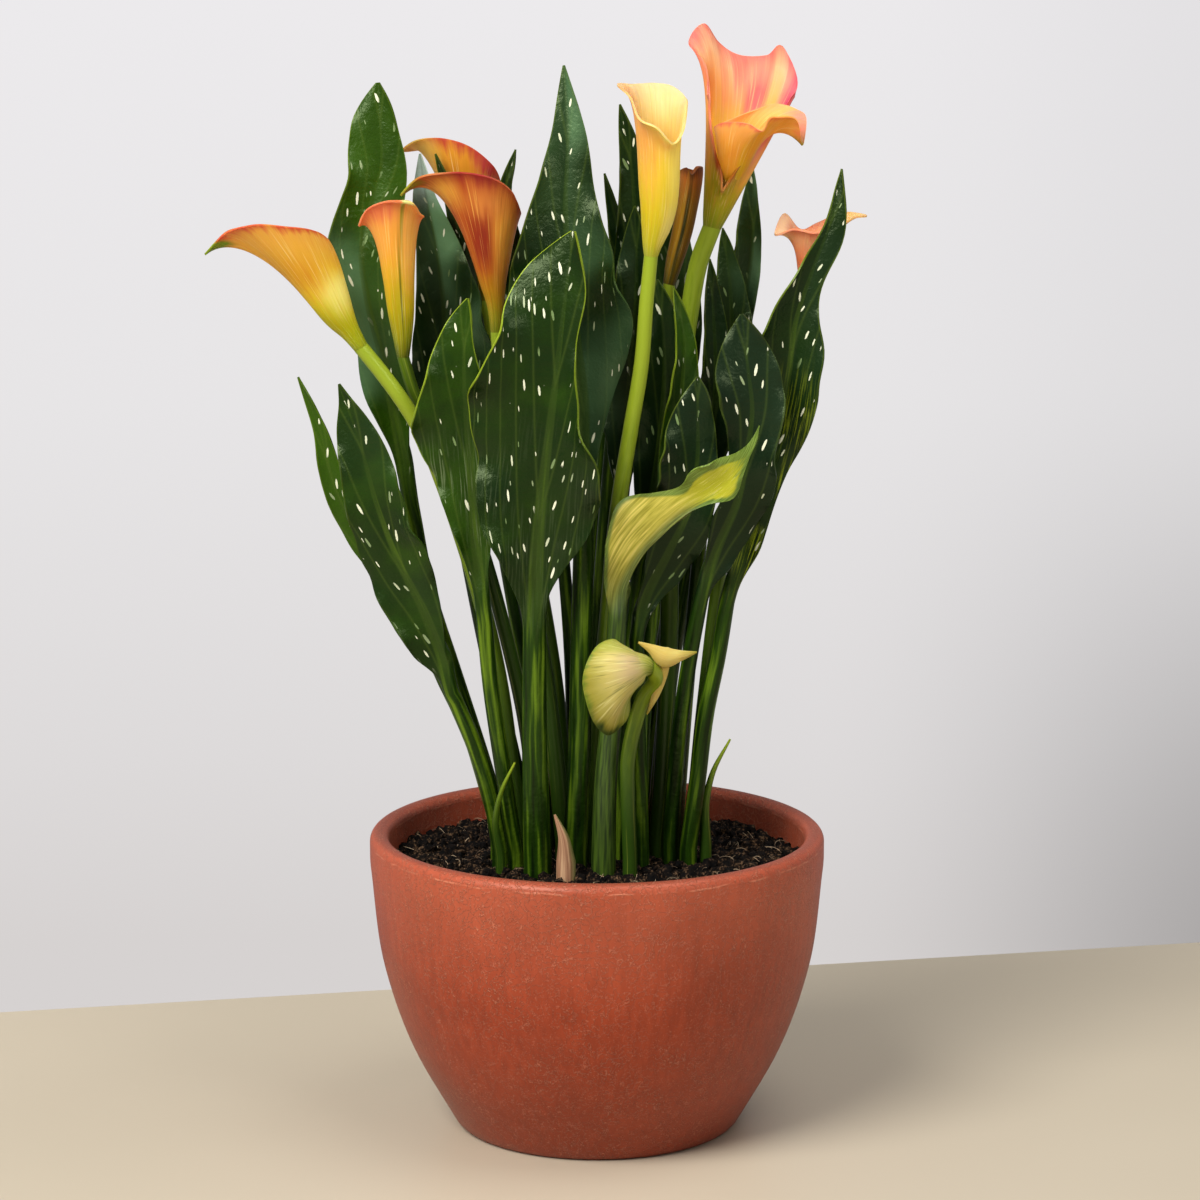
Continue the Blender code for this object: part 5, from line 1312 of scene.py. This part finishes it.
golden = floret_yellow()
for name, (floor, ahead, length) in floors.items():
    if length:
        across = square_to(np.array((1.0, 0, 0)), ahead)
        ups = np.linspace(0, 1, SPADIX_ROWS)
        sizes = smooth(*zip(*SPADIX_PROFILE), ups)
        points, faces = skin([circle(floor + ahead * (SPADIX_FOOT + length * up), across,
                                     np.cross(across, ahead), size, SPADIX_ROUND)
                              for up, size in zip(ups, sizes)])
        column = placed("column", bpy.data.meshes.new("column"))
        column.data.from_pydata((points * MM).tolist(), [], faces)
        node = name.replace("spathe", "spadix")
        shown = grown(node + "_fine", column, golden,
                      {"Spacing": 0.0009, "Most": 2.0e6, "Radius": 0.0006, "Seed": 3}, floret_tree)
        bpy.data.objects.remove(column)
        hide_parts(node)


# Shoots. Young green shoots, and one dry papery sheath left from an older leaf, stand in the soil close by
# the stalks. Each is round at its foot and runs out to a point.
SHOOT_ROWS = 20
SHOOT_TONE = 0.3
SHOOT_SEED = 20
SHOOTS = {
    "sheath_dry": dict(root=(-14, -42), radius=(4.4, 0.6), path=((-15, -43, 145), (-19, -43, 156))),
    "shoot_left": dict(root=(-44, -33), radius=(2.1, 0.5),
                       path=((-46, -35, 150), (-43, -37, 166), (-37, -38, 179))),
    "shoot_right": dict(root=(50, -11), radius=(2.8, 0.5),
                        path=((50, -12, 155), (53, -12, 168), (61, -12, 184))),
    "shoot_back": dict(root=(31, 24), radius=(2.0, 0.5), path=((31, 23, 160), (35, 22, 180))),
}


def dry_paper():
    """Dry, pinkish brown sheath with green left at its right side."""
    sheath = Finish("dry_paper")
    across, front, along = sheath.parts(sheath.mark("place"))
    streak = sheath.noise(sheath.vector(across * 4, front * 4, along * 0.04), 1.0, 3)
    colour = sheath.ramp(streak, (0.35, (136, 92, 62)), (0.5, (172, 126, 92)), (0.66, (204, 164, 124)))
    colour = sheath.blend(colour, (112, 118, 52), across.rise(0.35, 0.95) * 0.8)
    return sheath.end(colour, 0.75, streak, 0.3)


papery = dry_paper()
for seed, (name, values) in enumerate(SHOOTS.items()):
    finish, slot = (papery, "dry_sheath") if name == "sheath_dry" else (green_stalk, "shoot")
    stalk(name, finish, slot, SHOOT_SEED + seed, SHOOT_TONE, values["root"], values["radius"],
          values["path"], rows=SHOOT_ROWS)


# Studio. A pale beige table top in front of a light grey wall, lit softly from the upper left. The camera
# looks a little down on the plant. The wall that the camera sees is painted lighter towards its top, with
# the plant's soft shadow painted on its lower right.
CAMERA_PLACE = (1.4, -1800.0, 585.4)
CAMERA_PITCH = 10.66
CAMERA_LENS = 120.0
TABLE_BACK = ((-305.4, 171.2), (327.8, 304.2))  # two points of the table's far edge
TABLE_REACH = 6000
TABLE_Z = -0.2


def table_top():
    """Smooth beige board."""
    board = Finish("beige_board")
    here = board.here()
    colour = board.ramp(board.noise(here, 3, 2), (0.3, (197, 184, 161)), (0.7, (203, 190, 167)))
    return board.end(colour, 0.45)


(left_x, left_y), (right_x, right_y) = TABLE_BACK
slope = (right_y - left_y) / (right_x - left_x)
mesh = bpy.data.meshes.new("table_top")
far_edge = [(x, left_y + slope * (x - left_x)) for x in (TABLE_REACH, -TABLE_REACH)]
corners = [(-TABLE_REACH, -TABLE_REACH), (TABLE_REACH, -TABLE_REACH), *far_edge]
mesh.from_pydata([(x * MM, y * MM, TABLE_Z * MM) for x, y in corners], [], [(0, 1, 2, 3)])
mesh.materials.append(table_top())
placed("table_top", mesh)


def light(name, kind, place, aim, power, tint, **fixed):
    """A soft lamp that looks at a point."""
    lamp = bpy.data.lights.new(name, kind)
    lamp.energy, lamp.color = power, tint
    for setting, value in fixed.items():
        setattr(lamp, setting, value)
    holder = placed(name, lamp)
    holder.location = place
    holder.rotation_euler = (Vector(aim) - Vector(place)).to_track_quat("-Z", "Y").to_euler()


light("key_light", "AREA", (-1.3, -1.62, 2.2), (0, 0, 0.28), 92.0, (1.0, 0.985, 0.96), shape="DISK",
      size=1.6)
light("fill_light", "AREA", (1.3, -1.4, 0.9), (0, 0, 0.35), 1.0, (1.0, 0.99, 0.97), shape="DISK", size=1.4)
light("top_light", "AREA", (0.6, -0.3, 2.1), (0.25, 0.0, 0), 14.0, (1.0, 1.0, 1.0), shape="DISK", size=1.2)
light("bloom_light", "SPOT", (0.7, -0.9, 0.95), (0.02, 0, 0.43), 18.0, (1.0, 0.98, 0.94),
      shadow_soft_size=0.25, spot_size=math.radians(28), spot_blend=0.7)

world = bpy.data.worlds.new("grey_wall")
world.use_nodes = True
wall = Nodes(world.node_tree)
world.node_tree.nodes.clear()
x, _, z = wall.parts(wall.add("ShaderNodeTexCoord", None, None, "Generated"))
# Painted light: the wall, as the camera sees it, is lighter towards its top.
shade = wall.ramp(z + 1, (0.735, (214, 210, 209)), (0.778, (221, 218, 218)),
                  (0.864, (231, 229, 230)), (0.96, (236, 234, 236)))
# Painted shadow of the plant on the lower right of the wall.
painted_wall_shadow = x.rise(0.05, 0.17) * (0.09 + 0.33 * z.rise(-0.12, -0.27))
shade = wall.blend(shade, (0.0, 0.0, 0.0, 1.0), painted_wall_shadow)
seen = wall.add("ShaderNodeLightPath", None, None, "Is Camera Ray")
shade = wall.blend((0.3, 0.3, 0.31, 1.0), shade, seen)
sky = wall.add("ShaderNodeBackground", None, {"Color": shade, "Strength": 1.0})
wall.add("ShaderNodeOutputWorld", None, {"Surface": sky})
scene = bpy.context.scene
scene.world = world
scene.view_settings.view_transform = "Standard"

camera = placed("camera", bpy.data.cameras.new("camera"))
camera.data.lens = CAMERA_LENS
camera.data.sensor_width = 36.0
camera.location = [length * MM for length in CAMERA_PLACE]
camera.rotation_euler = (math.radians(90 - CAMERA_PITCH), 0, 0)
scene.camera = camera
